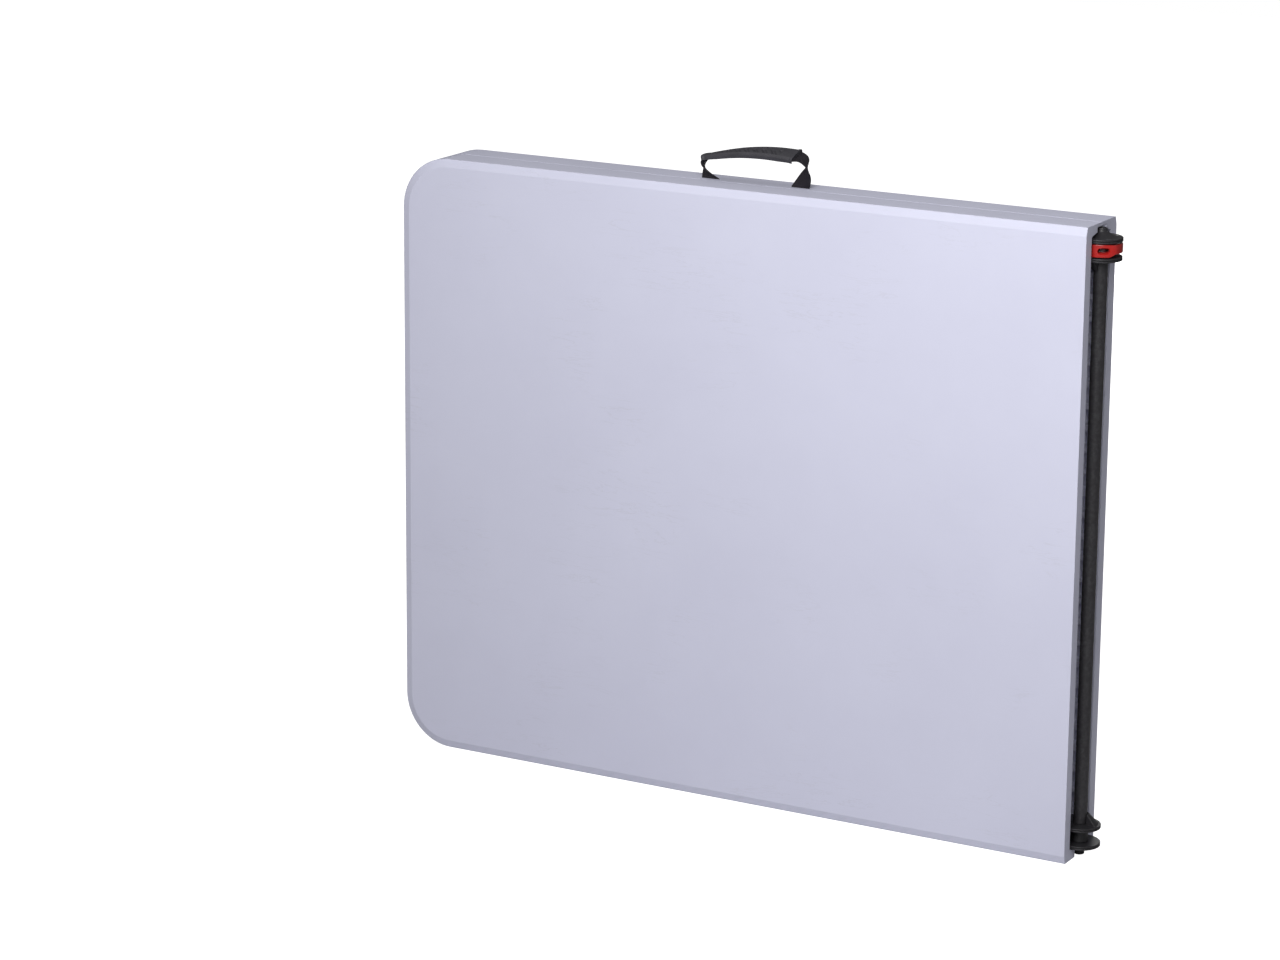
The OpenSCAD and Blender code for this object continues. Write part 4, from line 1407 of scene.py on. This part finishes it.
    def route(self) -> list[Vector]:
        """The strap's middle line from one anchor to the other.

        Returns:
            Points of (X, height, turn in degrees), with the run inside the grip between the rises.
        """
        under = self.strap_under
        points = [Vector((self.slots[0].x + x * MM, self.rim_top + z * MM, turn))
                  for x, z, turn in self.left_rise]
        for share in (0.08, 0.25, 0.5, 0.75, 0.93):
            middle, normal = self.crest(self.grip_l * share)
            inside = middle - normal * under
            points.append(Vector((inside.x, inside.z, -90)))
        points += [Vector((self.slots[1].x + x * MM, self.rim_top + z * MM, turn))
                   for x, z, turn in reversed(self.right_rise)]
        return points

    def strap_lean(self, here: Vector) -> float:
        """How far the strap rolls with the grip, in radians, which fades out beyond the grip's ends."""
        along = min(max(here.x - self.start, 0), self.grip_l)
        crest = self.crest(along)[0]
        off = math.hypot(here.x - crest.x, max(crest.z - here.y - 2 * self.strap_under, 0))
        return math.radians(self.roll_at(along)) * max(1 - off / self.roll_fade, 0)

    @staticmethod
    def curve_through(points: Sequence[Vector], steps: int) -> list[Vector]:
        """Draws a smooth curve through points.

        Args:
            points: The points.
            steps: The steps from one point to the next.

        Returns:
            The points of a Catmull-Rom curve, ends included.
        """
        padded = [2 * points[0] - points[1], *points, 2 * points[-1] - points[-2]]
        curve = []
        for a, b, c, d in zip(padded, padded[1:], padded[2:], padded[3:]):
            for step in range(steps):
                t = step / steps
                curve.append(0.5 * (2 * b + (c - a) * t + (2 * a - 5 * b + 4 * c - d) * t ** 2
                                    + (3 * b - a - 3 * c + d) * t ** 3))
        return [*curve, points[-1]]

    def webbing(self) -> None:
        """Builds the strap, bends it at the slots, gives it its material and hides the strap's CAD parts."""
        curve = self.curve_through(self.route(), 8)
        across = 8
        profile = [(-0.5 + i / across, 0.5) for i in range(across + 1)]
        profile += [(-u, -v) for u, v in profile]
        rows, weave, gone = [], [], 0.0
        for i, here in enumerate(curve):
            ahead = curve[min(i + 1, len(curve) - 1)]
            behind = curve[max(i - 1, 0)]
            run = Vector((ahead.x - behind.x, 0, ahead.y - behind.y)).normalized()
            turn = math.radians(here.z)
            lean = self.strap_lean(here)
            wide = Matrix.Rotation(lean, 3, run) @ Vector((math.cos(turn), math.sin(turn), 0))
            thick = run.cross(wide).normalized()
            middle = Vector((here.x, self.depth + self.strap_under * math.sin(lean), here.y))
            rows.append([middle + wide * (u * self.strap_w)
                         + thick * (v * self.strap_t * (1 - 1.2 * abs(u) ** 6 * 32)) for u, v in profile])
            gone += Vector((here.x - behind.x, here.y - behind.y)).length if i else 0.0
            weave.append([(u * self.strap_w / MM, gone / MM) for u, v in profile + profile[:1]])
        strap = smoothed(lofted(rows, "handle_webbing", weave), 60)
        strap.data.materials.clear()
        strap.data.materials.append(self.paint[Slot.WEBBING])
        middle = (self.slots[0] + self.slots[1]) / 2
        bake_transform(strap)
        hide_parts("handle_strap", "strap_tails")
        log.info("handle_webbing: %d faces, blended", len(strap.data.polygons))

    def build(self) -> None:
        """Builds the whole handle."""
        self.grip()
        self.webbing()
        dress_copy("strap_anchors", 0.5 * MM, Slot.ZINC, self.paint)


# ----------------------------------------------------------------- the studio


@dataclass
class Studio:
    """A pale floor, soft lights and the camera."""

    yaw: float = 29.22
    pitch: float = 14.1
    roll: float = 0.45
    place: tuple[float, float, float] = (2.12125, -4.078, 1.592)
    lens: float = 110.19
    shift: tuple[float, float] = (0.0034, -0.026)
    floor_size: float = 14.0
    ambient: float = 0.15

    def camera(self) -> None:
        """Places the camera."""
        yaw, pitch, roll = (math.radians(a) for a in (self.yaw, self.pitch, self.roll))
        ahead = Vector((-math.sin(yaw) * math.cos(pitch), math.cos(yaw) * math.cos(pitch), -math.sin(pitch)))
        right = Vector((math.cos(yaw), math.sin(yaw), 0))
        up = right.cross(ahead)
        turned_right = right * math.cos(roll) + up * math.sin(roll)
        turned_up = up * math.cos(roll) - right * math.sin(roll)
        data = bpy.data.cameras.new("camera")
        data.lens, data.sensor_width = self.lens, 36.0
        data.shift_x, data.shift_y = self.shift
        camera = bpy.data.objects.new("camera", data)
        axes = Matrix((turned_right, turned_up, -ahead)).transposed()
        camera.matrix_world = Matrix.Translation(self.place) @ axes.to_4x4()
        bpy.context.scene.collection.objects.link(camera)
        bpy.context.scene.camera = camera

    def floor(self) -> None:
        """Lays the floor, which looks as bright as the backdrop."""
        bm = bmesh.new()
        bmesh.ops.create_grid(bm, x_segments=1, y_segments=1, size=self.floor_size / 2)
        floor = object_from(bm, "floor")
        made = bpy.data.materials.new("pale floor")
        made.use_nodes = True
        sheet = NodeSheet(made.node_tree)
        shader = made.node_tree.nodes["Principled BSDF"]
        shader.inputs["Base Color"].default_value = (0.5, 0.5, 0.51, 1)
        shader.inputs["Roughness"].default_value = 0.7
        shader.inputs["Emission Color"].default_value = (1, 1, 1, 1)
        seen = sheet.add("ShaderNodeLightPath").outputs["Is Camera Ray"]
        made.node_tree.links.new(sheet.math("MULTIPLY", seen, 1.1), shader.inputs["Emission Strength"])
        floor.data.materials.append(made)

    def world(self) -> None:
        """Makes a white backdrop with dimmer light of its own."""
        world = bpy.data.worlds.new("studio")
        world.use_nodes = True
        bpy.context.scene.world = world
        sheet = NodeSheet(world.node_tree)
        seen = sheet.add("ShaderNodeLightPath").outputs["Is Camera Ray"]
        strength = sheet.spread(seen, 0.0, 1.0, self.ambient, 1.0)
        background = world.node_tree.nodes["Background"]
        background.inputs["Color"].default_value = (1, 1, 1, 1)
        world.node_tree.links.new(strength, background.inputs["Strength"])

    @staticmethod
    def softbox(name: str, place: Sequence[float], target: Sequence[float], size: float,
                power: float) -> None:
        """Hangs a soft square light.

        Args:
            name: The light's name.
            place: Where it hangs.
            target: What it points at.
            size: The length of its side.
            power: Its power in watts.
        """
        data = bpy.data.lights.new(name, "AREA")
        data.shape, data.size, data.energy = "SQUARE", size, power
        light = bpy.data.objects.new(name, data)
        light.location = place
        light.rotation_euler = (Vector(target) - Vector(place)).to_track_quat("-Z", "Y").to_euler()
        light.visible_camera = False
        bpy.context.scene.collection.objects.link(light)

    def build(self) -> None:
        """Sets the whole studio up."""
        self.camera()
        self.floor()
        self.world()
        self.softbox("key", (0.65, -1.65, 1.6), (0.1, 0, 0.6), 1.1, 41)
        self.softbox("fill", (-2.6, -2.2, 1.2), (0, 0, 0.4), 2.0, 2)
        self.softbox("overhead", (-0.6, -0.2, 2.6), (-0.1, 0, 0.4), 1.6, 8)
        self.softbox("back", (-1.0, 3.4, 0.2), (0, 0, 0.3), 1.0, 18)
        self.softbox("end", (3.2, 0.4, 1.2), (0, 0, 0.4), 1.6, 3)
        bpy.context.scene.view_settings.view_transform = "Standard"


def main() -> None:
    """Builds the studio and every sub-assembly."""
    logging.basicConfig(level=logging.INFO, format="%(name)s: %(message)s")
    Studio().build()
    paint = Paintbox()
    points = PieceOnPoints()
    for side in Side:
        TableTop(side, paint, points).build()
        Rails(side, paint).build()
        LegFrame(side, paint, points).build()
    FoldHinge(paint).build()
    CarryHandle(paint).build()


if __name__ == "__main__":
    main()
